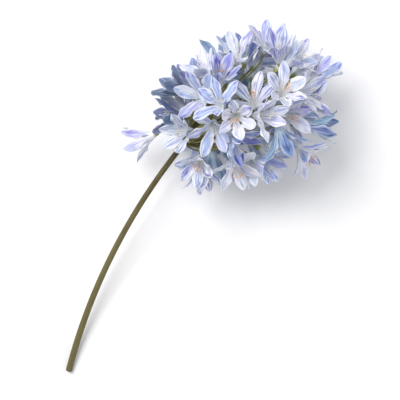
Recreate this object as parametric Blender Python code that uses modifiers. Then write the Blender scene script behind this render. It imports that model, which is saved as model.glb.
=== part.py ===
"""Agapanthus flower head on its cut stem, lying on a surface.

A bare curved stem (the scape) carries a swollen end, from which thin stalks (pedicels) spread to some
sixty blooms. Each bloom is a short tube that opens into six petals, three inner and three outer.
The surface is z = 0, and the head is seen from above, with the stem running towards -Y.
"""

import math
import random
from dataclasses import dataclass, field

import bmesh
import bpy
import numpy as np
from mathutils import Matrix, Vector
from mathutils.bvhtree import BVHTree

# Whole flower
NECK_HEIGHT = 0.062  # top of the stem above the surface
HEAD_TURN = math.radians(27)  # the head's axis in plan, from +X
HEAD_RISE = math.radians(8)
HEAD_REACH = 0.070  # neck to the middle of the head
HEAD_HALF_LENGTH = 0.097
HEAD_HALF_WIDTH = 0.078
HEAD_HALF_HEIGHT = 0.073
BARE_BACK = math.radians(136)  # the blooms stop this far round from the head's front
BLOOM_COUNT = 58
SEED = 14
GAP = 0.0003  # left between pieces that grow from each other

# Stem, an arc in plan: how steeply it runs down at the neck and at the cut end
STEM_LENGTH = 0.283
STEM_STEEP_NECK = math.radians(50)
STEM_STEEP_CUT = math.radians(75)
STEM_RADIUS_CUT = 0.0036
STEM_RADIUS_NECK = 0.0029
STEM_POINTS = 15
STEM_RADII = np.linspace(STEM_RADIUS_NECK, STEM_RADIUS_CUT, STEM_POINTS)
STEM_BEVEL = 3

# Swollen end of the stem and the stalks on it
KNOB_RADIUS = 0.0066
KNOB_NECK_RADIUS = 0.0031
KNOB_SIDES = 12
STALK_RADIUS = 0.00095
STALK_TIP_RADIUS = 0.0016
STALK_RADII = (STALK_RADIUS, STALK_RADIUS, STALK_RADIUS, STALK_TIP_RADIUS)
STALK_TIP_LENGTH = 0.005
STALK_ROOT = 0.62  # of the knob's radius
STALK_BEND = 0.36  # of its length, straight out of the knob and into the bloom

# Bloom
TUBE_LENGTH = 0.0085
TUBE_RADIUS_BASE = 0.0015
TUBE_RADIUS_THROAT = 0.0043
WELL_DEPTH = 0.0045
PETALS = 6
PETAL_LENGTH = 0.0310
PETAL_WIDTH = 0.0128
PETAL_THICKNESS = 0.00066
PETAL_WIDEST = 0.6  # of its length
PETAL_ROWS = (0.36, 0.8)
MOUTH_AT = 0.8  # of a petal's length past the throat
THROAT_ANGLE = math.radians(17)
OPEN_BY = 0.42  # share of a petal's length in which it bends out from the tube
OUTER_WHORL = math.radians(5)
PETAL_VARIETY = 0.09  # radians of flare either way
RECURVE = (0.3, 1.5)  # how far the outer half bends back
SWAY = 0.1  # sideways bend, of its length
CUP_INNER = 0.30  # edge lift of the inner petals for a half width, near the throat
CUP_OUTER = 0.08  # flatter, so that the inner petals' edges lie inside theirs
CUP_TURN = 1.5  # above 1, the edges turn back at the tip
EDGE_WAVE = 0.0007
EDGE_WAVE_RATE = 7.5
EDGE_WAVE_LAG = 1.7  # between the petal's two edges
CLAW = 1.5  # the higher, the slower a petal widens from the throat
TIP_BLUNTNESS = 2.3
TIP_POWER = 0.62
ARC_STEPS = 40

# Stance of the blooms
OUTWARD = 0.6  # share of straight out of the head in where a bloom faces
FACING_JITTER = 0.18
STAGGER = 0.018
SPREAD_STEPS = 200
SPREAD_PUSH = 0.22
SPREAD_LIMIT = 0.004
FLARE_OPEN = (math.radians(50), math.radians(70))
FLARE_HALF_OPEN = (math.radians(24), math.radians(32))
HALF_OPEN_SHARE = 0.2
LEAST_FLARE = math.radians(19)

# Making room between blooms
CLEARANCE = 0.0007
CLOSE_STEP = math.radians(1.5)
CLAW_STEP = 0.2
MOST_CLAW = 5.0
ROOT_CUT = 0.02  # share of a petal next to the throat in which its neighbours may touch it
PUSH_STEP = 0.0006
ROOM_STEPS = 200

TONES = {
    "petals_pale": (0.79, 0.82, 0.92),
    "petals_periwinkle": (0.48, 0.54, 0.82),
    "petals_blue": (0.22, 0.31, 0.60),
}
TONE_WEIGHTS = (5, 4, 2)


@dataclass
class Petal:
    """One petal: where it stands round the tube, and its own shape."""

    turn: float
    flare: float
    recurve: float
    length: float
    width: float
    sway: float
    wave: float
    cup: float
    claw: float = CLAW


@dataclass
class Bloom:
    """One bloom: its place on the head and its petals."""

    root: np.ndarray
    base: np.ndarray
    facing: np.ndarray
    roll: float
    tone: str
    petals: list = field(default_factory=list)
    grounded: bool = False

    def frame(self):
        """Columns: two directions across the bloom and the way it faces."""
        guide = np.array((0.0, 0.0, 1.0)) if abs(self.facing[2]) < 0.9 else np.array((0.0, 1.0, 0.0))
        side = unit(np.cross(guide, self.facing))
        other = np.cross(self.facing, side)
        across = math.cos(self.roll) * side + math.sin(self.roll) * other
        return np.column_stack((across, np.cross(self.facing, across), self.facing))


@dataclass(frozen=True)
class Feature:
    """A bloom that the head is known by: where its mouth is, where it faces, how far it opens."""

    mouth: tuple
    facing: tuple
    flare: float
    tone: str


FEATURES = (
    Feature((0.046, 0.014, 0.146), (-0.08, -0.22, 1.0), math.radians(58), "petals_pale"),
    Feature((0.099, 0.048, 0.141), (0.15, 0.20, 1.0), math.radians(60), "petals_pale"),
    Feature((0.028, 0.037, 0.142), (-0.38, 0.20, 1.0), math.radians(56), "petals_pale"),
    Feature((0.094, -0.011, 0.120), (0.25, -0.85, -0.38), math.radians(50), "petals_blue"),
    Feature((-0.058, -0.004, 0.058), (-0.90, -0.34, -0.42), math.radians(26), "petals_pale"),
    Feature((-0.022, 0.058, 0.096), (-0.80, 0.50, 0.30), math.radians(34), "petals_blue"),
    Feature((-0.030, 0.024, 0.090), (-0.95, 0.10, 0.26), math.radians(34), "petals_blue"),
    Feature((0.020, -0.044, 0.078), (0.22, -1.0, 0.10), math.radians(46), "petals_periwinkle"),
    Feature((0.132, -0.026, 0.092), (0.72, -0.68, 0.20), math.radians(44), "petals_periwinkle"),
)


def unit(vector):
    """The vector at length one."""
    return vector / np.linalg.norm(vector)


def head_frame():
    """The head's axis and two directions across it."""
    level = math.cos(HEAD_RISE)
    axis = np.array((level * math.cos(HEAD_TURN), level * math.sin(HEAD_TURN), math.sin(HEAD_RISE)))
    across = unit(np.cross((0.0, 0.0, 1.0), axis))
    return axis, across, np.cross(axis, across)


def neck():
    """Top of the stem, where the swollen end has its middle."""
    return np.array((0.0, 0.0, NECK_HEIGHT))


def make_petals(rng, flare):
    """Six petals round a tube: the outer three a little wider open and narrower than the inner three."""
    petals = []
    for index in range(PETALS):
        outer = index % 2
        petals.append(
            Petal(
                turn=math.tau * index / PETALS,
                flare=flare + outer * OUTER_WHORL + rng.uniform(-PETAL_VARIETY, PETAL_VARIETY),
                recurve=rng.uniform(*RECURVE),
                length=PETAL_LENGTH * rng.uniform(0.93, 1.06),
                width=PETAL_WIDTH * (rng.uniform(0.84, 0.95) if outer else rng.uniform(0.95, 1.08)),
                sway=rng.uniform(-SWAY, SWAY),
                wave=rng.uniform(0.0, math.tau),
                cup=CUP_OUTER if outer else CUP_INNER,
            )
        )
    return petals


def even_out(places, held, centre, axes, sizes):
    """Push the blooms' places apart over the head until they cover it evenly, apart from the held ones."""
    for _ in range(SPREAD_STEPS):
        apart = places[:, None, :] - places[None, :, :]
        far = np.linalg.norm(apart, axis=2) + np.eye(len(places))
        push = (apart / far[..., None] ** 5).sum(axis=1)
        push *= np.median(far.min(axis=1)) ** 5 * SPREAD_PUSH
        step = np.minimum(1, SPREAD_LIMIT / np.linalg.norm(push, axis=1))
        for index in range(len(places)):
            if index in held:
                continue
            moved = places[index] + push[index] * step[index]
            way = unit((moved - centre) @ axes / sizes)
            if way[0] < math.cos(BARE_BACK):
                way = np.append(math.cos(BARE_BACK), math.sin(BARE_BACK) * unit(way[1:]))
            places[index] = centre + axes @ (sizes * way)
    return places


def lay_out_blooms():
    """Blooms spread evenly over the head round the featured ones, each on its own stalk."""
    rng = random.Random(SEED)
    axes = np.column_stack(head_frame())
    centre = neck() + HEAD_REACH * axes[:, 0]
    sizes = np.array((HEAD_HALF_LENGTH, HEAD_HALF_WIDTH, HEAD_HALF_HEIGHT))
    golden_turn = math.pi * (3 - math.sqrt(5))
    ways = []
    for index in range(BLOOM_COUNT):
        forward = 1 - (1 - math.cos(BARE_BACK)) * (index + 0.5) / BLOOM_COUNT
        aside = math.sqrt(1 - forward * forward)
        turn = index * golden_turn
        ways.append((forward, aside * math.cos(turn), aside * math.sin(turn)))
    mouths = centre + (np.array(ways) * sizes) @ axes.T
    held = {}
    for feature in FEATURES:
        place = np.array(feature.mouth)
        order = sorted(range(BLOOM_COUNT), key=lambda i: np.linalg.norm(mouths[i] - place))
        nearest = next(i for i in order if i not in held)
        held[nearest] = feature
        mouths[nearest] = place
    mouths = even_out(mouths, held, centre, axes, sizes)

    blooms = []
    reach = TUBE_LENGTH + MOUTH_AT * PETAL_LENGTH
    for index, mouth in enumerate(mouths):
        way = unit((mouth - centre) @ axes / sizes)
        normal = unit(axes @ (way / sizes))
        facing = OUTWARD * normal + (1 - OUTWARD) * unit(mouth - neck())
        facing = unit(facing + np.array([rng.gauss(0, FACING_JITTER) for _ in range(3)]))
        half_open = rng.random() < HALF_OPEN_SHARE
        flare = rng.uniform(*(FLARE_HALF_OPEN if half_open else FLARE_OPEN))
        depth = rng.uniform(0, STAGGER)
        tone = rng.choices(list(TONES), TONE_WEIGHTS)[0]
        if index in held:
            facing = unit(np.array(held[index].facing))
            flare, tone, depth = held[index].flare, held[index].tone, 0.0
        root = neck() + STALK_ROOT * KNOB_RADIUS * unit(axes @ way)
        bloom = Bloom(root, mouth - (reach + depth) * facing, facing, rng.uniform(0, math.tau), tone)
        bloom.petals = make_petals(rng, flare)
        blooms.append(bloom)
    return blooms


def petal_points(petal, across, along, lift):
    """Points of a petal in its bloom's own frame.

    across runs from -1 to 1 between its edges, along from 0 at the throat to 1 at the tip, and lift moves
    the point towards the inside of the bloom.
    """
    across = np.asarray(across, dtype=float)
    along = np.asarray(along, dtype=float)
    steps = np.linspace(0, 1, ARC_STEPS + 1)
    middle = (steps[1:] + steps[:-1]) / 2
    opening = np.sin(np.minimum(middle / OPEN_BY, 1) * math.pi / 2)
    angle = THROAT_ANGLE + (petal.flare - THROAT_ANGLE) * opening
    angle = angle + petal.recurve * np.maximum(middle - 0.5, 0) ** 1.5
    share = petal.length / ARC_STEPS
    out = np.concatenate(([0], np.cumsum(np.sin(angle)))) * share + TUBE_RADIUS_THROAT
    rise = np.concatenate(([0], np.cumsum(np.cos(angle)))) * share + TUBE_LENGTH
    lean = np.interp(along, middle, angle)

    half_throat = TUBE_RADIUS_THROAT * math.sin(math.pi / PETALS)
    half_width = petal.width / 2
    swell = np.sin(np.minimum(along / PETAL_WIDEST, 1) * math.pi / 2)
    close = np.maximum((along - PETAL_WIDEST) / (1 - PETAL_WIDEST), 0)
    half = half_throat + (half_width - half_throat) * swell**petal.claw
    half = half * np.maximum(1 - close**TIP_BLUNTNESS, 0) ** TIP_POWER

    cup = petal.cup * half * (1 - CUP_TURN * along**2)
    phase = EDGE_WAVE_RATE * along + petal.wave + EDGE_WAVE_LAG * np.sign(across)
    ripple = EDGE_WAVE * np.sin(phase) * np.sin(math.pi * along)
    lift = lift + cup * across**2 + ripple * np.abs(across) ** 2.5
    radial = np.interp(along, steps, out) - lift * np.cos(lean)
    height = np.interp(along, steps, rise) + lift * np.sin(lean)
    sideways = half * across + petal.sway * petal.length * along**2
    cos_turn, sin_turn = math.cos(petal.turn), math.sin(petal.turn)
    return np.stack(
        (radial * cos_turn - sideways * sin_turn, radial * sin_turn + sideways * cos_turn, height), axis=-1
    )


def ring_points(radius, height, count):
    """Points round the bloom's axis."""
    turns = np.arange(count) * math.tau / count
    return np.column_stack((radius * np.cos(turns), radius * np.sin(turns), np.full(count, height)))


def bloom_points(bloom, thickness):
    """Corners of a bloom's solid in its own frame: tube rings, the well's foot, then the petals."""
    half = thickness / 2
    sets = [
        ring_points(TUBE_RADIUS_BASE, 0.0, PETALS),
        ring_points(TUBE_RADIUS_THROAT + half, TUBE_LENGTH, 2 * PETALS),
        ring_points(TUBE_RADIUS_THROAT - half, TUBE_LENGTH, 2 * PETALS),
        np.array(((0.0, 0.0, TUBE_LENGTH - WELL_DEPTH),)),
    ]
    across = [-1, 0, 1] * len(PETAL_ROWS) + [0]
    along = [row for row in PETAL_ROWS for _ in range(3)] + [1]
    for petal in bloom.petals:
        sets.append(petal_points(petal, across, along, -half))
        sets.append(petal_points(petal, across, along, half))
    return np.concatenate(sets)


def bloom_faces():
    """Triangles of a bloom's solid, facing out, and for each the petal that it is on, or -1 on the tube."""
    outer, inner = PETALS, 3 * PETALS
    well = 5 * PETALS
    rings = 2 * PETALS
    faces = [(0, p + 1, p) for p in range(1, PETALS - 1)]
    for p in range(PETALS):
        after = (p + 1) % PETALS
        between = outer + 2 * p + 1
        beyond = outer + (2 * p + 2) % rings
        faces += [(p, after, between), (p, between, outer + 2 * p), (after, beyond, between)]
    faces += [(well, inner + k, inner + (k + 1) % rings) for k in range(rings)]
    owners = [-1] * len(faces)
    per_side = 3 * len(PETAL_ROWS) + 1
    for p in range(PETALS):
        sides = []
        for side, throat in enumerate((outer, inner)):
            start = well + 1 + (2 * p + side) * per_side
            around = [throat + (2 * p - 1) % rings, throat + 2 * p, throat + 2 * p + 1]
            rows = [around] + [list(range(start + 3 * r, start + 3 * r + 3)) for r in range(len(PETAL_ROWS))]
            sides.append((rows, start + per_side - 1))
        (out_rows, out_tip), (in_rows, in_tip) = sides
        made = []
        for rows, tip, flip in ((out_rows, out_tip, False), (in_rows, in_tip, True)):
            sheet = []
            for (r0, m0, l0), (r1, m1, l1) in zip(rows, rows[1:]):
                sheet += [(m0, l0, l1), (m0, l1, m1), (r0, m0, r1), (m0, m1, r1)]
            last_r, last_m, last_l = rows[-1]
            sheet += [(last_m, last_l, tip), (last_r, last_m, tip)]
            made += [face[::-1] for face in sheet] if flip else sheet
        for column, turned in ((2, False), (0, True)):
            out_edge = [row[column] for row in out_rows] + [out_tip]
            in_edge = [row[column] for row in in_rows] + [in_tip]
            for a, b, c, d in zip(out_edge, in_edge, in_edge[1:], out_edge[1:]):
                rim = [(a, b, c), (a, c, d)]
                made += [face[::-1] for face in rim] if turned else rim
        faces += made
        owners += [p] * len(made)
    return faces, owners


def crossing_petals(bloom):
    """Petals that pass through another petal of their own bloom."""
    points = bloom_points(bloom, PETAL_THICKNESS)
    rows = len(PETAL_ROWS)
    per_side = 3 * rows + 1
    sheet = []
    for start in range(0, 3 * rows, 3):
        r0, m0, l0, r1, m1, l1 = range(start, start + 6)
        sheet += [(m0, l0, l1), (m0, l1, m1), (r0, m0, r1), (m0, m1, r1)]
    last = 3 * rows
    sheet += [(last + 1, last + 2, last + 3), (last, last + 1, last + 3)]
    edges = [list(range(column, last + column + 1, 3)) + [last + 3] for column in (0, 2)]
    rims = [(a, a + last + 4, b + last + 4, b) for edge in edges for a, b in zip(edge, edge[1:])]
    trees = []
    for p in range(PETALS):
        corners, faces = [], []
        for side, throat in enumerate((PETALS, 3 * PETALS)):
            start = 5 * PETALS + 1 + (2 * p + side) * per_side
            around = [throat + (2 * p + k) % (2 * PETALS) for k in (-1, 0, 1)]
            own = points[start : start + per_side]
            faces += [tuple(len(corners) + i for i in face) for face in sheet]
            corners += list(points[around] * (1 - ROOT_CUT) + own[:3] * ROOT_CUT) + list(own)
        trees.append(BVHTree.FromPolygons([tuple(c) for c in corners], faces + rims))
    return [p for p in range(PETALS) if any(trees[p].overlap(trees[q]) for q in range(PETALS) if q != p)]


def stalk_route(bloom):
    """A stalk's points: its root inside the knob, one bend, the start of its cup, and its end."""
    end = bloom.base - GAP * bloom.facing
    span = np.linalg.norm(end - bloom.root)
    leave = unit(unit(bloom.root - neck()) + unit(end - bloom.root))
    out = bloom.root + STALK_BEND * span * leave
    back = end - STALK_BEND * span * bloom.facing
    middle = (bloom.root + 3 * out + 3 * back + end) / 8
    return [bloom.root, middle, end - STALK_TIP_LENGTH * bloom.facing, end]


def tube_tree(points, radii):
    """A search tree of a square tube round a route, with room left round it."""
    corners = []
    for index, (point, radius) in enumerate(zip(points, radii)):
        before = points[max(index - 1, 0)]
        after = points[min(index + 1, len(points) - 1)]
        run = unit(np.asarray(after) - np.asarray(before))
        side = unit(np.cross(run, (run[1], run[2], -run[0])))
        other = np.cross(run, side)
        corners += [point + math.sqrt(2) * (radius + CLEARANCE) * way for way in (side, other, -side, -other)]
    faces = []
    for start in range(0, len(corners) - 4, 4):
        for k in range(4):
            a, b = start + k, start + (k + 1) % 4
            faces.append((a, b, b + 4, a + 4))
    return BVHTree.FromPolygons([tuple(c) for c in corners], faces)


def stem_points(count):
    """Points along the stem's middle, from the neck to the cut end, whose rim touches the surface."""
    slope = math.atan2(NECK_HEIGHT, STEM_LENGTH)
    foot = STEM_RADIUS_CUT * math.cos(slope)
    bend = (STEM_STEEP_CUT - STEM_STEEP_NECK) / STEM_LENGTH
    points = []
    for run in np.linspace(0, STEM_LENGTH, count):
        steep = STEM_STEEP_NECK + bend * run
        x = -(math.sin(steep) - math.sin(STEM_STEEP_NECK)) / bend
        y = (math.cos(steep) - math.cos(STEM_STEEP_NECK)) / bend
        points.append(np.array((x, y, NECK_HEIGHT + (foot - NECK_HEIGHT) * run / STEM_LENGTH)))
    return points


def make_room(blooms):
    """Close petals, and push blooms apart where that isn't enough, until no two touch.

    Petals that pass through another petal of their own bloom get narrower near the throat.
    """
    faces, owners = bloom_faces()
    stem = tube_tree(stem_points(STEM_POINTS), STEM_RADII)
    along = KNOB_RADIUS * head_frame()[0]
    knob = tube_tree((neck() - along, neck() + along), (KNOB_RADIUS, KNOB_RADIUS))
    reach = TUBE_LENGTH + PETAL_LENGTH
    for _ in range(ROOM_STEPS):
        trees = []
        for bloom in blooms:
            points = bloom_points(bloom, PETAL_THICKNESS + CLEARANCE) @ bloom.frame().T + bloom.base
            lowest = (bloom_points(bloom, PETAL_THICKNESS) @ bloom.frame().T + bloom.base)[:, 2].min()
            if lowest < 0 or bloom.grounded:
                bloom.grounded = True
                bloom.base = bloom.base - (0, 0, lowest)
                points = points - (0, 0, lowest)
            trees.append(BVHTree.FromPolygons([tuple(p) for p in points], faces))
        stalks = [tube_tree(stalk_route(bloom), STALK_RADII) for bloom in blooms]
        closing = set()
        moves = {}
        narrowing = []
        for first, bloom in enumerate(blooms):
            petals = [bloom.petals[p] for p in crossing_petals(bloom)]
            narrowing += [petal for petal in petals if petal.claw < MOST_CLAW]
            middle = bloom.base + reach / 2 * bloom.facing
            own_stalk = tube_tree(stalk_route(bloom)[:-1], STALK_RADII)
            rivals = [(stem, neck()), (knob, neck()), (own_stalk, bloom.root)]
            for second, other in enumerate(blooms):
                if second == first:
                    continue
                rivals.append((stalks[second], (other.base + other.root) / 2))
                if np.linalg.norm(other.base - bloom.base) < 2 * reach:
                    rivals.append((trees[second], other.base + reach / 2 * other.facing))
            for tree, place in rivals:
                for petal in {owners[hit[0]] for hit in trees[first].overlap(tree)}:
                    if petal < 0 or bloom.petals[petal].flare <= LEAST_FLARE:
                        away = unit(middle - place)
                        moves[first] = moves.get(first, 0) + PUSH_STEP * away
                    else:
                        closing.add((first, petal))
        for first, petal in closing:
            blooms[first].petals[petal].flare -= CLOSE_STEP
        for first, move in moves.items():
            blooms[first].base = blooms[first].base + move
        for petal in narrowing:
            petal.claw += CLAW_STEP
        if not closing and not moves and not narrowing:
            return
    raise RuntimeError("the blooms still touch")


def finish(name, colour, roughness):
    """A plain surface finish."""
    material = bpy.data.materials.get(name) or bpy.data.materials.new(name)
    material.use_nodes = True
    shader = material.node_tree.nodes["Principled BSDF"]
    shader.inputs["Base Color"].default_value = (*colour, 1.0)
    shader.inputs["Roughness"].default_value = roughness
    shader.inputs["Metallic"].default_value = 0.0
    return material


def add_object(name, data, collection, parent, material=None):
    """Put an object in a collection, under its parent."""
    piece = bpy.data.objects.new(name, data)
    collection.objects.link(piece)
    piece.parent = parent
    if material:
        data.materials.append(material)
    return piece


def tube_curve(name, points, radii, bevel_resolution):
    """A round tube along a route, with its ends filled."""
    curve = bpy.data.curves.new(name, "CURVE")
    curve.dimensions = "3D"
    curve.bevel_depth = 1.0
    curve.bevel_resolution = bevel_resolution
    curve.use_fill_caps = True
    spline = curve.splines.new("POLY")
    spline.points.add(len(points) - 1)
    for knot, point, radius in zip(spline.points, points, radii):
        knot.co = (*point, 1.0)
        knot.radius = radius
    return curve


def mesh_from_curve(curve, name):
    """A closed mesh of a tube curve, with its caps welded on."""
    carrier = bpy.data.objects.new(name, curve)
    bpy.context.scene.collection.objects.link(carrier)
    graph = bpy.context.evaluated_depsgraph_get()
    mesh = bpy.data.meshes.new_from_object(carrier.evaluated_get(graph))
    bpy.data.objects.remove(carrier)
    shape = bmesh.new()
    shape.from_mesh(mesh)
    bmesh.ops.remove_doubles(shape, verts=shape.verts, dist=0.000001)
    shape.to_mesh(mesh)
    shape.free()
    return mesh


def make_stem(collection, parent):
    """The bare stem, a curved tapered tube cut across at both ends."""
    points = stem_points(STEM_POINTS)
    run = unit(points[1] - points[0])
    points[0] = points[0] + (KNOB_RADIUS + GAP) * run
    curve = tube_curve("scape", points, STEM_RADII, STEM_BEVEL)
    add_object("scape", curve, collection, parent, finish("scape_skin", (0.13, 0.11, 0.05), 0.55))


def make_stalks(blooms, collection, parent):
    """The swollen end of the stem with all the stalks, joined in one body."""
    green = finish("stalk_green", (0.25, 0.29, 0.07), 0.5)
    profile = bpy.data.meshes.new("umbel_stalks")
    arc = [math.radians(a) for a in (90, 55, 22, -10, -38)]
    outline = [(KNOB_RADIUS * math.cos(a), 0.0, KNOB_RADIUS * math.sin(a)) for a in arc]
    outline[0] = (0.0, 0.0, KNOB_RADIUS)
    outline += [(KNOB_NECK_RADIUS, 0.0, -KNOB_RADIUS), (0.0, 0.0, -KNOB_RADIUS)]
    profile.from_pydata(outline, [(i, i + 1) for i in range(len(outline) - 1)], [])
    knob = add_object("umbel_stalks", profile, collection, parent, green)
    turned = knob.modifiers.new("turned", "SCREW")
    turned.steps = turned.render_steps = KNOB_SIDES
    turned.use_merge_vertices = True
    turned.merge_threshold = 0.00001
    route = stem_points(STEM_POINTS)
    knob.location = neck()
    knob.rotation_euler = Vector(route[0] - route[1]).to_track_quat("Z", "Y").to_euler()

    stalks = bpy.data.collections.new("stalks")
    bpy.context.scene.collection.children.link(stalks)
    for index, bloom in enumerate(blooms):
        name = f"stalk_{index + 1:02d}"
        curve = tube_curve(name, stalk_route(bloom), STALK_RADII, 0)
        add_object(name, mesh_from_curve(curve, name), stalks, parent)
    joined = knob.modifiers.new("joined", "BOOLEAN")
    joined.operation = "UNION"
    joined.operand_type = "COLLECTION"
    joined.collection = stalks
    joined.solver = "EXACT"
    bpy.context.view_layer.update()
    graph = bpy.context.evaluated_depsgraph_get()
    body = bpy.data.meshes.new_from_object(knob.evaluated_get(graph))
    knob.modifiers.clear()
    knob.data = body
    for stalk in list(stalks.objects):
        bpy.data.objects.remove(stalk)
    bpy.data.collections.remove(stalks)


def make_bloom(index, bloom, collection, parent):
    """One bloom as a single closed solid: tube, well and six petals."""
    name = f"floret_{index + 1:02d}"
    mesh = bpy.data.meshes.new(name)
    faces, _ = bloom_faces()
    mesh.from_pydata([tuple(p) for p in bloom_points(bloom, PETAL_THICKNESS)], [], faces)
    piece = add_object(name, mesh, collection, parent, finish(bloom.tone, TONES[bloom.tone], 0.45))
    piece.matrix_local = Matrix.Translation(bloom.base) @ Matrix(bloom.frame().tolist()).to_4x4()


def centre_on_origin(collection, parent):
    """Move the flower so that the origin is below the middle of its box."""
    bpy.context.view_layer.update()
    graph = bpy.context.evaluated_depsgraph_get()
    corners = []
    for piece in collection.objects:
        if piece.type == "EMPTY":
            continue
        mesh = bpy.data.meshes.new_from_object(piece.evaluated_get(graph))
        corners += [piece.matrix_world @ vertex.co for vertex in mesh.vertices]
        bpy.data.meshes.remove(mesh)
    low = [min(corner[i] for corner in corners) for i in range(3)]
    high = [max(corner[i] for corner in corners) for i in range(3)]
    parent.location = (-(low[0] + high[0]) / 2, -(low[1] + high[1]) / 2, -low[2])


def main():
    """Build the flower."""
    for old in list(bpy.data.objects):
        bpy.data.objects.remove(old)
    collection = bpy.data.collections.new("agapanthus_flower_head")
    bpy.context.scene.collection.children.link(collection)
    plant = add_object("plant", None, collection, None)
    blooms = lay_out_blooms()
    make_room(blooms)
    make_stem(collection, plant)
    make_stalks(blooms, collection, plant)
    for index, bloom in enumerate(blooms):
        make_bloom(index, bloom, collection, plant)
    centre_on_origin(collection, plant)


main()
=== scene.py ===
"""Agapanthus flower head on its cut stem, dressed for a picture from straight above.

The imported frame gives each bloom's place and size. The same growth rule that placed the blooms there is
followed here, and every bloom, stalk and the stem is then drawn finely over its plain solid.
"""

from __future__ import annotations

import logging
import math
import random
from collections.abc import Sequence
from dataclasses import dataclass, field
from enum import Enum

import bpy
import numpy as np
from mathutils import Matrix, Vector
from mathutils.bvhtree import BVHTree


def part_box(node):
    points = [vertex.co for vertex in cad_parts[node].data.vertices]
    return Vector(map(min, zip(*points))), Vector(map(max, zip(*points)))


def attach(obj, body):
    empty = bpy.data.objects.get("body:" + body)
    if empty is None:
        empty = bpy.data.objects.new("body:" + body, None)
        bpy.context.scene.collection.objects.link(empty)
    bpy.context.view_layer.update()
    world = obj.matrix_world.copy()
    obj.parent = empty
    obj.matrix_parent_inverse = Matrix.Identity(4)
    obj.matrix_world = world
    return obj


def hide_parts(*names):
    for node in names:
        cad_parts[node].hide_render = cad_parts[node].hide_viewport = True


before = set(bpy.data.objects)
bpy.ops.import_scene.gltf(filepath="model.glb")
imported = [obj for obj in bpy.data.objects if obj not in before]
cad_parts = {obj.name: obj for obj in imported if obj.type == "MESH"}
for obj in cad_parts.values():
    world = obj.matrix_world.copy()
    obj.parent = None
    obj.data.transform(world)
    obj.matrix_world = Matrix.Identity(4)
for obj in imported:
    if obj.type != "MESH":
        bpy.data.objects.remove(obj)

LOG = logging.getLogger("agapanthus")
MAP_NAME = "growth"
UP = np.array((0.0, 0.0, 1.0))
# A direction is steep when it rises by more than this share of its length.
STEEP = 0.9
# The colour sockets of a Mix node, which also has sockets for numbers and vectors.
MIX_COLOUR_INPUTS = (0, 6, 7)
MIX_COLOUR_OUTPUT = 2

Colour = tuple[float, float, float]
Place = tuple[float, float, float]
MapPlace = tuple[float, float]
Range = tuple[float, float]

# Soft noise seldom leaves this band.
NOISE_BAND: Range = (0.3, 0.7)


def unit(vector: np.ndarray) -> np.ndarray:
    """The vector at length one."""
    return vector / np.linalg.norm(vector)


class Tone(Enum):
    """The three petal colours of the head, named as the record's material slots."""

    PALE = "petals_pale"
    PERIWINKLE = "petals_periwinkle"
    BLUE = "petals_blue"


TONE_WEIGHTS = (5, 4, 2)


@dataclass
class Petal:
    """One petal: where it stands round the tube, and its own shape."""

    turn: float
    flare: float
    recurve: float
    length: float
    width: float
    sway: float
    wave: float
    cup: float
    claw: float


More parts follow.
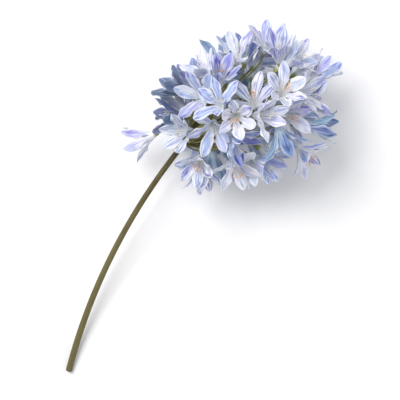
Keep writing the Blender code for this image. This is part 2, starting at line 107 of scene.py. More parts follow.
@dataclass(frozen=True)
class BloomSizes:
    """Sizes that all blooms share, in metres and radians."""

    tube_length: float = 0.0085
    tube_radius_base: float = 0.0015
    tube_radius_throat: float = 0.0043
    well_depth: float = 0.0045
    petals: int = 6
    petal_length: float = 0.0310
    petal_width: float = 0.0128
    petal_thickness: float = 0.00066
    petal_widest: float = 0.6
    petal_rows: tuple[float, ...] = (0.36, 0.8)
    mouth_at: float = 0.8
    throat_angle: float = math.radians(17)
    open_by: float = 0.42
    outer_whorl: float = math.radians(5)
    variety: float = 0.09
    lengths: Range = (0.93, 1.06)
    outer_widths: Range = (0.84, 0.95)
    inner_widths: Range = (0.95, 1.08)
    recurve: Range = (0.3, 1.5)
    recurve_from: float = 0.5
    recurve_power: float = 1.5
    sway: float = 0.1
    cup_inner: float = 0.30
    cup_outer: float = 0.08
    cup_turn: float = 1.5
    edge_wave: float = 0.0007
    edge_wave_rate: float = 7.5
    edge_wave_lag: float = 1.7
    edge_wave_power: float = 2.5
    claw: float = 1.5
    tip_bluntness: float = 2.3
    tip_power: float = 0.62
    arc_steps: int = 40

    def mouth_reach(self) -> float:
        """Distance from a bloom's base to its mouth."""
        return self.tube_length + self.mouth_at * self.petal_length

    def make_petals(self, rng: random.Random, flare: float) -> list[Petal]:
        """Draw six petals, the outer three wider open and narrower than the inner three.

        Args:
            rng: The head's seeded source of chance.
            flare: How far the bloom opens from its own axis.

        Returns:
            The petals in order round the tube.
        """
        petals = []
        for index in range(self.petals):
            outer = index % 2
            widths = self.outer_widths if outer else self.inner_widths
            petals.append(
                Petal(
                    turn=math.tau * index / self.petals,
                    flare=flare + outer * self.outer_whorl + rng.uniform(-self.variety, self.variety),
                    recurve=rng.uniform(*self.recurve),
                    length=self.petal_length * rng.uniform(*self.lengths),
                    width=self.petal_width * rng.uniform(*widths),
                    sway=rng.uniform(-self.sway, self.sway),
                    wave=rng.uniform(0.0, math.tau),
                    cup=self.cup_outer if outer else self.cup_inner,
                    claw=self.claw,
                )
            )
        return petals

    def petal_points(
        self, petal: Petal, across: np.ndarray, along: np.ndarray, lift: np.ndarray | float
    ) -> np.ndarray:
        """Points of a petal in its bloom's own frame.

        Args:
            petal: The petal.
            across: Place between its edges, from -1 to 1.
            along: Place from the throat, at 0, to the tip, at 1.
            lift: Distance moved towards the inside of the bloom.

        Returns:
            One point for each place.
        """
        across = np.asarray(across, dtype=float)
        along = np.asarray(along, dtype=float)
        steps = np.linspace(0, 1, self.arc_steps + 1)
        middle = (steps[1:] + steps[:-1]) / 2
        opening = np.sin(np.minimum(middle / self.open_by, 1) * math.pi / 2)
        angle = self.throat_angle + (petal.flare - self.throat_angle) * opening
        angle = angle + petal.recurve * np.maximum(middle - self.recurve_from, 0) ** self.recurve_power
        share = petal.length / self.arc_steps
        out = np.concatenate(([0], np.cumsum(np.sin(angle)))) * share + self.tube_radius_throat
        rise = np.concatenate(([0], np.cumsum(np.cos(angle)))) * share + self.tube_length
        lean = np.interp(along, middle, angle)

        half_throat = self.tube_radius_throat * math.sin(math.pi / self.petals)
        half_width = petal.width / 2
        swell = np.sin(np.minimum(along / self.petal_widest, 1) * math.pi / 2)
        close = np.maximum((along - self.petal_widest) / (1 - self.petal_widest), 0)
        half = half_throat + (half_width - half_throat) * swell**petal.claw
        half = half * np.maximum(1 - close**self.tip_bluntness, 0) ** self.tip_power

        cup = petal.cup * half * (1 - self.cup_turn * along**2)
        phase = self.edge_wave_rate * along + petal.wave + self.edge_wave_lag * np.sign(across)
        ripple = self.edge_wave * np.sin(phase) * np.sin(math.pi * along)
        lift = lift + cup * across**2 + ripple * np.abs(across) ** self.edge_wave_power
        radial = np.interp(along, steps, out) - lift * np.cos(lean)
        height = np.interp(along, steps, rise) + lift * np.sin(lean)
        sideways = half * across + petal.sway * petal.length * along**2
        cos_turn, sin_turn = math.cos(petal.turn), math.sin(petal.turn)
        x = radial * cos_turn - sideways * sin_turn
        y = radial * sin_turn + sideways * cos_turn
        return np.stack((x, y, height), axis=-1)


SIZES = BloomSizes()


@dataclass
class Bloom:
    """One bloom: its place on the head and its petals."""

    root: np.ndarray
    base: np.ndarray
    facing: np.ndarray
    roll: float
    tone: Tone
    petals: list[Petal] = field(default_factory=list)
    grounded: bool = False
    ripe: bool = False

    def frame(self) -> np.ndarray:
        """The bloom's own frame.

        Returns:
            Two directions across it and the way it faces, as columns.
        """
        guide = UP if abs(self.facing[2]) < STEEP else np.array((0.0, 1.0, 0.0))
        side = unit(np.cross(guide, self.facing))
        other = np.cross(self.facing, side)
        across = math.cos(self.roll) * side + math.sin(self.roll) * other
        return np.column_stack((across, np.cross(self.facing, across), self.facing))

    def placed(self, points: np.ndarray) -> np.ndarray:
        """Points of the bloom's own frame, where they lie on the head."""
        return points @ self.frame().T + self.base


@dataclass(frozen=True)
class PlainBloom:
    """The plain solid of a bloom, which takes up its room on the head."""

    sizes: BloomSizes = SIZES

    @staticmethod
    def ring(radius: float, height: float, count: int) -> np.ndarray:
        """Points round the bloom's axis."""
        turns = np.arange(count) * math.tau / count
        return np.column_stack((radius * np.cos(turns), radius * np.sin(turns), np.full(count, height)))

    def points(self, bloom: Bloom, thickness: float) -> np.ndarray:
        """Corners of the solid: tube rings, the well's foot, then the petals.

        Args:
            bloom: The bloom.
            thickness: The petals' thickness.

        Returns:
            The corners in the bloom's own frame.
        """
        sizes = self.sizes
        half = thickness / 2
        sets = [
            self.ring(sizes.tube_radius_base, 0.0, sizes.petals),
            self.ring(sizes.tube_radius_throat + half, sizes.tube_length, 2 * sizes.petals),
            self.ring(sizes.tube_radius_throat - half, sizes.tube_length, 2 * sizes.petals),
            np.array(((0.0, 0.0, sizes.tube_length - sizes.well_depth),)),
        ]
        across = [-1, 0, 1] * len(sizes.petal_rows) + [0]
        along = [row for row in sizes.petal_rows for _ in range(3)] + [1]
        for petal in bloom.petals:
            sets.append(sizes.petal_points(petal, across, along, -half))
            sets.append(sizes.petal_points(petal, across, along, half))
        return np.concatenate(sets)

    @staticmethod
    def sheet(rows: list[Sequence[int]], tip: int) -> list[tuple[int, int, int]]:
        """Triangles of one side of a petal.

        Args:
            rows: Three points in each row, from the throat on.
            tip: The point at its tip.

        Returns:
            The triangles.
        """
        triangles = []
        for (r0, m0, l0), (r1, m1, l1) in zip(rows, rows[1:]):
            triangles += [(m0, l0, l1), (m0, l1, m1), (r0, m0, r1), (m0, m1, r1)]
        right, middle, left = rows[-1]
        return triangles + [(middle, left, tip), (right, middle, tip)]

    def faces(self) -> tuple[list[tuple[int, int, int]], list[int]]:
        """The solid's triangles.

        Returns:
            The triangles, and for each the petal that it is on, or -1 on the tube.
        """
        petals = self.sizes.petals
        outer, inner, well, rings = petals, 3 * petals, 5 * petals, 2 * petals
        faces = [(0, p + 1, p) for p in range(1, petals - 1)]
        for p in range(petals):
            after, between = (p + 1) % petals, outer + 2 * p + 1
            beyond = outer + (2 * p + 2) % rings
            faces += [(p, after, between), (p, between, outer + 2 * p), (after, beyond, between)]
        faces += [(well, inner + k, inner + (k + 1) % rings) for k in range(rings)]
        owners = [-1] * len(faces)
        row_count = len(self.sizes.petal_rows)
        per_side = 3 * row_count + 1
        for p in range(petals):
            edges = []
            for side, throat in enumerate((outer, inner)):
                start = well + 1 + (2 * p + side) * per_side
                rows = [[throat + (2 * p - 1) % rings, throat + 2 * p, throat + 2 * p + 1]]
                rows += [list(range(start + 3 * r, start + 3 * r + 3)) for r in range(row_count)]
                tip = start + per_side - 1
                faces += self.sheet(rows, tip)
                edges.append(([row[0] for row in rows] + [tip], [row[2] for row in rows] + [tip]))
            for out_edge, in_edge in zip(*edges):
                for a, b, c, d in zip(out_edge, in_edge, in_edge[1:], out_edge[1:]):
                    faces += [(a, b, c), (a, c, d)]
            owners += [p] * (len(faces) - len(owners))
        return faces, owners

    def crossing(self, bloom: Bloom, root_cut: float) -> list[int]:
        """Petals that pass through another petal of their own bloom.

        Args:
            bloom: The bloom.
            root_cut: Share of a petal next to the throat in which its neighbours may touch it.

        Returns:
            Their numbers.
        """
        points = self.points(bloom, self.sizes.petal_thickness)
        petals, rows = self.sizes.petals, len(self.sizes.petal_rows)
        last = 3 * rows
        sheet = self.sheet([range(start, start + 3) for start in range(0, last + 1, 3)], last + 3)
        edges = [list(range(column, last + column + 1, 3)) + [last + 3] for column in (0, 2)]
        rims = [(a, a + last + 4, b + last + 4, b) for edge in edges for a, b in zip(edge, edge[1:])]
        trees = []
        for p in range(petals):
            corners, faces = [], []
            for side, throat in enumerate((petals, 3 * petals)):
                start = 5 * petals + 1 + (2 * p + side) * (last + 1)
                around = [throat + (2 * p + k) % (2 * petals) for k in (-1, 0, 1)]
                own = points[start : start + last + 1]
                faces += [tuple(len(corners) + i for i in face) for face in sheet]
                corners += list(points[around] * (1 - root_cut) + own[:3] * root_cut) + list(own)
            trees.append(BVHTree.FromPolygons([tuple(c) for c in corners], faces + rims))
        return [p for p in range(petals) if any(trees[p].overlap(trees[q]) for q in range(petals) if q != p)]


@dataclass(frozen=True)
class Stem:
    """The bare stem's run, an arc in plan that comes down to the surface at its cut end."""

    neck_height: float = 0.062
    length: float = 0.283
    steep_neck: float = math.radians(50)
    steep_cut: float = math.radians(75)
    radius_cut: float = 0.0036
    radius_neck: float = 0.0029
    plain_points: int = 15

    def neck(self) -> np.ndarray:
        """Top of the stem, where its swollen end has its middle."""
        return np.array((0.0, 0.0, self.neck_height))

    def points(self, count: int) -> np.ndarray:
        """Points along the stem's middle, from the neck to the cut end.

        Args:
            count: Number of points.

        Returns:
            The points, one row each.
        """
        slope = math.atan2(self.neck_height, self.length)
        foot = self.radius_cut * math.cos(slope)
        bend = (self.steep_cut - self.steep_neck) / self.length
        points = []
        for run in np.linspace(0, self.length, count):
            steep = self.steep_neck + bend * run
            x = -(math.sin(steep) - math.sin(self.steep_neck)) / bend
            y = (math.cos(steep) - math.cos(self.steep_neck)) / bend
            points.append((x, y, self.neck_height + (foot - self.neck_height) * run / self.length))
        return np.array(points)

    def radii(self, count: int) -> np.ndarray:
        """The stem's radius at as many points."""
        return np.linspace(self.radius_neck, self.radius_cut, count)


@dataclass(frozen=True)
class Stalk:
    """Sizes of the swollen end of the stem and of the stalks that spread from it."""

    knob_radius: float = 0.0066
    knob_neck_radius: float = 0.0031
    radius: float = 0.00095
    tip_radius: float = 0.0016
    tip_length: float = 0.005
    root: float = 0.62
    bend: float = 0.36
    gap: float = 0.0003

    def radii(self) -> tuple[float, ...]:
        """A stalk's radius at its four points."""
        return (self.radius, self.radius, self.radius, self.tip_radius)

    def leave(self, bloom: Bloom, neck: np.ndarray) -> np.ndarray:
        """The direction in which a bloom's stalk leaves the knob."""
        end = bloom.base - self.gap * bloom.facing
        return unit(unit(bloom.root - neck) + unit(end - bloom.root))

    def route(self, bloom: Bloom, neck: np.ndarray) -> list[np.ndarray]:
        """A stalk's points.

        Args:
            bloom: The bloom that it carries.
            neck: The middle of the knob.

        Returns:
            Its root inside the knob, one bend, the start of its cup, and its end.
        """
        end = bloom.base - self.gap * bloom.facing
        span = np.linalg.norm(end - bloom.root)
        out = bloom.root + self.bend * span * self.leave(bloom, neck)
        back = end - self.bend * span * bloom.facing
        middle = (bloom.root + 3 * out + 3 * back + end) / 8
        return [bloom.root, middle, end - self.tip_length * bloom.facing, end]


@dataclass(frozen=True)
class Feature:
    """A bloom that the head is known by: its mouth, where it faces, how far it opens, and its colours."""

    mouth: Place
    facing: Place
    flare: float
    tone: Tone
    ripe: bool = False


FEATURES = (
    Feature((0.046, 0.014, 0.146), (-0.08, -0.22, 1.0), math.radians(58), Tone.PALE, ripe=True),
    Feature((0.099, 0.048, 0.141), (0.15, 0.20, 1.0), math.radians(60), Tone.PALE, ripe=True),
    Feature((0.028, 0.037, 0.142), (-0.38, 0.20, 1.0), math.radians(56), Tone.PALE),
    Feature((0.094, -0.011, 0.120), (0.25, -0.85, -0.38), math.radians(50), Tone.BLUE),
    Feature((-0.058, -0.004, 0.058), (-0.90, -0.34, -0.42), math.radians(26), Tone.PALE),
    Feature((-0.022, 0.058, 0.096), (-0.80, 0.50, 0.30), math.radians(34), Tone.BLUE),
    Feature((-0.030, 0.024, 0.090), (-0.95, 0.10, 0.26), math.radians(34), Tone.BLUE),
    Feature((0.020, -0.044, 0.078), (0.22, -1.0, 0.10), math.radians(46), Tone.PERIWINKLE),
    Feature((0.132, -0.026, 0.092), (0.72, -0.68, 0.20), math.radians(44), Tone.PERIWINKLE),
)


@dataclass(frozen=True)
class Head:
    """The whole head: where its blooms stand, and how they make room for each other."""

    stem: Stem = Stem()
    stalk: Stalk = Stalk()
    turn: float = math.radians(27)
    rise: float = math.radians(8)
    reach: float = 0.070
    half_length: float = 0.097
    half_width: float = 0.078
    half_height: float = 0.073
    bare_back: float = math.radians(136)
    blooms: int = 58
    seed: int = 14
    outward: float = 0.6
    facing_jitter: float = 0.18
    stagger: float = 0.018
    spread_steps: int = 200
    spread_push: float = 0.22
    spread_power: int = 5
    spread_limit: float = 0.004
    flare_open: Range = (math.radians(50), math.radians(70))
    flare_half_open: Range = (math.radians(24), math.radians(32))
    half_open_share: float = 0.2
    least_flare: float = math.radians(19)
    clearance: float = 0.0007
    close_step: float = math.radians(1.5)
    claw_step: float = 0.2
    most_claw: float = 5.0
    root_cut: float = 0.02
    push_step: float = 0.0006
    room_steps: int = 200

    def axes(self) -> np.ndarray:
        """The head's own frame.

        Returns:
            Its axis and two directions across it, as columns.
        """
        level = math.cos(self.rise)
        axis = np.array((level * math.cos(self.turn), level * math.sin(self.turn), math.sin(self.rise)))
        across = unit(np.cross(UP, axis))
        return np.column_stack((axis, across, np.cross(axis, across)))

    def sizes(self) -> np.ndarray:
        """Half sizes of the head along its axes."""
        return np.array((self.half_length, self.half_width, self.half_height))

    def centre(self) -> np.ndarray:
        """The middle of the head."""
        return self.stem.neck() + self.reach * self.axes()[:, 0]

    def even_out(self, places: np.ndarray, held: dict[int, Feature]) -> np.ndarray:
        """Push the blooms' places apart over the head until they cover it evenly.

        Args:
            places: Where the blooms' mouths are.
            held: The places that stay.

        Returns:
            The places, moved.
        """
        centre, axes, sizes = self.centre(), self.axes(), self.sizes()
        for _ in range(self.spread_steps):
            apart = places[:, None, :] - places[None, :, :]
            far = np.linalg.norm(apart, axis=2) + np.eye(len(places))
            push = (apart / far[..., None] ** self.spread_power).sum(axis=1)
            push *= np.median(far.min(axis=1)) ** self.spread_power * self.spread_push
            step = np.minimum(1, self.spread_limit / np.linalg.norm(push, axis=1))
            for index in range(len(places)):
                if index in held:
                    continue
                moved = places[index] + push[index] * step[index]
                way = unit((moved - centre) @ axes / sizes)
                if way[0] < math.cos(self.bare_back):
                    way = np.append(math.cos(self.bare_back), math.sin(self.bare_back) * unit(way[1:]))
                places[index] = centre + axes @ (sizes * way)
        return places

    def lay_out(self) -> list[Bloom]:
        """Spread the blooms over the head round the featured ones, each on its own stalk.

        Returns:
            The blooms, before they make room for each other.
        """
        rng = random.Random(self.seed)
        axes, centre, sizes, neck = self.axes(), self.centre(), self.sizes(), self.stem.neck()
        golden_turn = math.pi * (3 - math.sqrt(5))
        ways = []
        for index in range(self.blooms):
            forward = 1 - (1 - math.cos(self.bare_back)) * (index + 0.5) / self.blooms
            aside = math.sqrt(1 - forward * forward)
            turn = index * golden_turn
            ways.append((forward, aside * math.cos(turn), aside * math.sin(turn)))
        mouths = centre + (np.array(ways) * sizes) @ axes.T
        held: dict[int, Feature] = {}
        for feature in FEATURES:
            place = np.array(feature.mouth)
            order = sorted(range(self.blooms), key=lambda i: np.linalg.norm(mouths[i] - place))
            nearest = next(i for i in order if i not in held)
            held[nearest] = feature
            mouths[nearest] = place
        mouths = self.even_out(mouths, held)

        blooms = []
        for index, mouth in enumerate(mouths):
            way = unit((mouth - centre) @ axes / sizes)
            normal = unit(axes @ (way / sizes))
            facing = self.outward * normal + (1 - self.outward) * unit(mouth - neck)
            facing = unit(facing + np.array([rng.gauss(0, self.facing_jitter) for _ in range(3)]))
            half_open = rng.random() < self.half_open_share
            flare = rng.uniform(*(self.flare_half_open if half_open else self.flare_open))
            depth = rng.uniform(0, self.stagger)
            tone = rng.choices(list(Tone), TONE_WEIGHTS)[0]
            if index in held:
                facing = unit(np.array(held[index].facing))
                flare, tone, depth = held[index].flare, held[index].tone, 0.0
            root = neck + self.stalk.root * self.stalk.knob_radius * unit(axes @ way)
            base = mouth - (SIZES.mouth_reach() + depth) * facing
            bloom = Bloom(root, base, facing, rng.uniform(0, math.tau), tone)
            bloom.petals = SIZES.make_petals(rng, flare)
            bloom.ripe = index in held and held[index].ripe
            blooms.append(bloom)
        return blooms

    def tube_tree(self, points: list[np.ndarray], radii: Sequence[float]) -> BVHTree:
        """A search tree of a square tube round a route, with room left round it.

        Args:
            points: The route.
            radii: The tube's radius at each point.

        Returns:
            The search tree.
        """
        corners = []
        for index, (point, radius) in enumerate(zip(points, radii)):
            before = points[max(index - 1, 0)]
            after = points[min(index + 1, len(points) - 1)]
            run = unit(np.asarray(after) - np.asarray(before))
            side = unit(np.cross(run, (run[1], run[2], -run[0])))
            other = np.cross(run, side)
            wide = math.sqrt(2) * (radius + self.clearance)
            corners += [point + wide * way for way in (side, other, -side, -other)]
        faces = []
        for start in range(0, len(corners) - 4, 4):
            for k in range(4):
                a, b = start + k, start + (k + 1) % 4
                faces.append((a, b, b + 4, a + 4))
        return BVHTree.FromPolygons([tuple(c) for c in corners], faces)

    def make_room(self, blooms: list[Bloom]) -> None:
        """Close petals, and push blooms apart where that isn't enough, until no two touch.

        Petals that pass through another petal of their own bloom get narrower near the throat.

        Args:
            blooms: The blooms, which are changed.
        """
        plain = PlainBloom()
        faces, owners = plain.faces()
        neck = self.stem.neck()
        stem_points = self.stem.plain_points
        stem = self.tube_tree(list(self.stem.points(stem_points)), self.stem.radii(stem_points))
        along = self.stalk.knob_radius * self.axes()[:, 0]
        knob = self.tube_tree([neck - along, neck + along], (self.stalk.knob_radius,) * 2)
        reach = SIZES.tube_length + SIZES.petal_length
        count = len(blooms)
        changed = set(range(count))
        trees: list[BVHTree | None] = [None] * count
        stalks: list[BVHTree | None] = [None] * count
        for _ in range(self.room_steps):
            for index in changed:
                bloom = blooms[index]
                points = bloom.placed(plain.points(bloom, SIZES.petal_thickness + self.clearance))
                lowest = bloom.placed(plain.points(bloom, SIZES.petal_thickness))[:, 2].min()
                if lowest < 0 or bloom.grounded:
                    bloom.grounded = True
                    bloom.base = bloom.base - (0, 0, lowest)
                    points = points - (0, 0, lowest)
                trees[index] = BVHTree.FromPolygons([tuple(p) for p in points], faces)
                stalks[index] = self.tube_tree(self.stalk.route(bloom, neck), self.stalk.radii())
            closing: set[tuple[int, int]] = set()
            moves: dict[int, np.ndarray] = {}
            narrowing: list[tuple[int, Petal]] = []
            for first, bloom in enumerate(blooms):
                if first in changed:
                    crossing = [bloom.petals[p] for p in plain.crossing(bloom, self.root_cut)]
                    narrowing += [(first, petal) for petal in crossing if petal.claw < self.most_claw]
                middle = bloom.base + reach / 2 * bloom.facing
                rivals = []
                if first in changed:
                    own = self.tube_tree(self.stalk.route(bloom, neck)[:-1], self.stalk.radii())
                    rivals = [(stem, neck), (knob, neck), (own, bloom.root)]
                for second, other in enumerate(blooms):
                    if second == first or not (first in changed or second in changed):
                        continue
                    rivals.append((stalks[second], (other.base + other.root) / 2))
                    if np.linalg.norm(other.base - bloom.base) < 2 * reach:
                        rivals.append((trees[second], other.base + reach / 2 * other.facing))
                for tree, place in rivals:
                    for petal in {owners[hit[0]] for hit in trees[first].overlap(tree)}:
                        if petal < 0 or bloom.petals[petal].flare <= self.least_flare:
                            moves[first] = moves.get(first, 0) + self.push_step * unit(middle - place)
                        else:
                            closing.add((first, petal))
            for first, petal in closing:
                blooms[first].petals[petal].flare -= self.close_step
            for first, move in moves.items():
                blooms[first].base = blooms[first].base + move
            for _, petal in narrowing:
                petal.claw += self.claw_step
            changed = {first for first, _ in closing} | set(moves) | {first for first, _ in narrowing}
            if not changed:
                return
        raise RuntimeError("the blooms still touch")

    def settle_on_frame(self, blooms: list[Bloom]) -> np.ndarray:
        """Find how far the frame lies from the head as grown here.

        Args:
            blooms: The blooms, in the order of the frame's nodes.

        Returns:
            The shift that puts the head in the frame.
        """
        plain = PlainBloom()
        shifts = []
        for index, bloom in enumerate(blooms):
            points = bloom.placed(plain.points(bloom, SIZES.petal_thickness))
            low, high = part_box(f"floret_{index + 1:02d}")
            shifts.append((np.array(low) + np.array(high) - points.min(axis=0) - points.max(axis=0)) / 2)
        shift = np.median(shifts, axis=0)
        worst = np.abs(np.array(shifts) - shift).max()
        LOG.info("head set in the frame, worst misfit %.3f mm", worst * 1000)
        return shift


def sweep(points: np.ndarray, radii: np.ndarray, sides: int) -> np.ndarray:
    """Rings of points round a route, without twist.

    Args:
        points: The route.
        radii: The radius at each point, or at each point and side.
        sides: Points in a ring.

    Returns:
        The rings, with the shape (route points, sides, 3).
    """
    points = np.asarray(points, dtype=float)
    runs = np.gradient(points, axis=0)
    runs /= np.linalg.norm(runs, axis=1)[:, None]
    guide = UP if abs(runs[0][2]) < STEEP else np.array((1.0, 0.0, 0.0))
    side = unit(np.cross(runs[0], guide))
    turns = np.arange(sides) * math.tau / sides
    radii = np.asarray(radii, dtype=float)
    if radii.ndim == 1:
        radii = np.repeat(radii[:, None], sides, axis=1)
    rings = []
    for point, run, radius in zip(points, runs, radii):
        side = unit(side - run * (side @ run))
        around = np.outer(np.cos(turns), side) + np.outer(np.sin(turns), np.cross(run, side))
        rings.append(point + radius[:, None] * around)
    return np.array(rings)


@dataclass
class Mesher:
    """Gathers the points and faces of one piece, with their map places and finishes.

    Points below the floor are lifted to it, and then all are shifted into the frame.
    """

    points: list[np.ndarray] = field(default_factory=list)
    faces: list[tuple[int, ...]] = field(default_factory=list)
    maps: list[MapPlace] = field(default_factory=list)
    finishes: list[int] = field(default_factory=list)
    chances: list[np.ndarray] = field(default_factory=list)
    sides: list[np.ndarray] = field(default_factory=list)
    count: int = 0
    # How much painted shade the piece's petals get: a slate blue mixed in for the shade on the head's left
    # side.
    painted_shade: float = 0.0
    shift: np.ndarray = field(default_factory=lambda: np.zeros(3))

    def add_points(self, points: np.ndarray, chance: float = 0.0, side: float = 0.0) -> int:
        """Add points.

        Args:
            points: The points, in any grid shape.
            chance: A number from 0 to 1 that colours them.
            side: 1 on the inner face of a petal.

        Returns:
            The number of the first one.
        """
        flat = np.asarray(points, dtype=float).reshape(-1, 3)
        start = self.count
        self.points.append(flat)
        self.chances.append(np.full(len(flat), chance))
        self.sides.append(np.full(len(flat), side))
        self.count += len(flat)
        return start

    def add_face(self, corners: Sequence[int], places: Sequence[MapPlace], finish: int, flip: bool) -> None:
        """Add a face.

        Args:
            corners: Its points.
            places: Their map places.
            finish: The finish's place in the piece's list.
            flip: Whether the face is turned over.
        """
        step = -1 if flip else 1
        self.faces.append(tuple(corners[::step]))
        self.maps.extend(places[::step])
        self.finishes.append(finish)

    def add_strip(
        self,
        lower: Sequence[int],
        upper: Sequence[int],
        across: Sequence[float],
        along: tuple[float, float],
        finish: int = 0,
        flip: bool = False,
    ) -> None:
        """Add the faces between two rows of points.

        Args:
            lower: The points of one row.
            upper: The points of the next row.
            across: The map place of each column.
            along: The map places of the two rows.
            finish: The finish's place in the piece's list.
            flip: Whether the faces are turned over.
        """
        low, high = along
        for j in range(len(lower) - 1):
            left, right = across[j], across[j + 1]
            corners = (lower[j], lower[j + 1], upper[j + 1], upper[j])
            self.add_face(corners, ((left, low), (right, low), (right, high), (left, high)), finish, flip)

    def add_fan(
        self,
        row: Sequence[int],
        peak: int,
        across: Sequence[float],
        along: float,
        at: MapPlace,
        finish: int = 0,
        flip: bool = False,
    ) -> None:
        """Add the triangles between a row of points and one more point.

        Args:
            row: The row's points.
            peak: The one point.
            across: The map place of each column.
            along: The map place of the row.
            at: The map place of the one point.
            finish: The finish's place in the piece's list.
            flip: Whether the triangles are turned over.
        """
        for j in range(len(row) - 1):
            places = ((across[j], along), (across[j + 1], along), at)
            self.add_face((row[j], row[j + 1], peak), places, finish, flip)

    def add_tube(self, rings: np.ndarray, finish: int, chance: float = 0.0) -> None:
        """Add a closed tube.

        Args:
            rings: Rings of points along it.
            finish: The finish's place in the piece's list.
            chance: A number from 0 to 1 that colours it.
        """
        length, sides = rings.shape[:2]
        start = self.add_points(rings, chance)
        rows = [[start + row * sides + k % sides for k in range(sides + 1)] for row in range(length)]
        around = np.linspace(0, 1, sides + 1)
        along = np.linspace(0, 1, length)
        for row in range(length - 1):
            self.add_strip(rows[row], rows[row + 1], around, (along[row], along[row + 1]), finish)
        for row in (0, -1):
            middle = self.add_points(rings[row].mean(axis=0), chance)
            self.add_fan(rows[row], middle, around, along[row], (0.5, along[row]), finish, row == 0)

    def build(self, name: str, node: str, finishes: list[bpy.types.Material]) -> bpy.types.Object:
        """Make the piece, which stands for a plain solid of the frame.

        Args:
            name: The piece's name.
            node: The solid's node.
            finishes: Its materials.

        Returns:
            The object, linked to the scene.
        """
        mesh = bpy.data.meshes.new(name)
        points = np.concatenate(self.points)
        points[:, 2] = np.maximum(points[:, 2], 0.0)
        mesh.from_pydata((points + self.shift).tolist(), [], self.faces)
        layer = mesh.uv_layers.new(name=MAP_NAME)
        layer.data.foreach_set("uv", np.array(self.maps, dtype=np.float32).ravel())
        # Every point carries the piece's painted shade number as an attribute.
        painted_shade = [np.full(self.count, self.painted_shade)]
        for title, values in (("chance", self.chances), ("inner_face", self.sides), ("painted_shade", painted_shade)):
            attribute = mesh.attributes.new(title, "FLOAT", "POINT")
            attribute.data.foreach_set("value", np.concatenate(values).astype(np.float32))
        mesh.polygons.foreach_set("material_index", self.finishes)
        for material in finishes:
            mesh.materials.append(material)
        mesh.shade_smooth()
        mesh.update()
        piece = bpy.data.objects.new(name, mesh)
        bpy.context.scene.collection.objects.link(piece)
        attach(piece, "root")
        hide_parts(node)
        return piece


@dataclass(frozen=True)
class Value:
    """A node's output. Sums with other values and numbers add the Math nodes that they need."""

    graph: Graph
    socket: bpy.types.NodeSocket

    def __add__(self, other: Value | float) -> Value:
        """The sum."""
        return self.graph.maths("ADD", self, other)

    def __sub__(self, other: Value | float) -> Value:
        """The difference."""
        return self.graph.maths("SUBTRACT", self, other)

    def __rsub__(self, other: float) -> Value:
        """What a number is less this."""
        return self.graph.maths("SUBTRACT", other, self)

    def __mul__(self, other: Value | float) -> Value:
        """The product."""
        return self.graph.maths("MULTIPLY", self, other)

    def __truediv__(self, other: Value | float) -> Value:
        """The quotient."""
        return self.graph.maths("DIVIDE", self, other)

    def clamped(self) -> Value:
        """This value, kept from 0 to 1 by its own Math node."""
        self.socket.node.use_clamp = True
        return self

    def smooth(self, low: float, high: float, to_low: float = 0.0, to_high: float = 1.0) -> Value:
        """This value carried smoothly from one range to another."""
        node = self.graph.node("ShaderNodeMapRange", interpolation_type="SMOOTHSTEP")
        return self.graph.fill(node, (self, low, high, to_low, to_high))


Input = Value | float | Colour


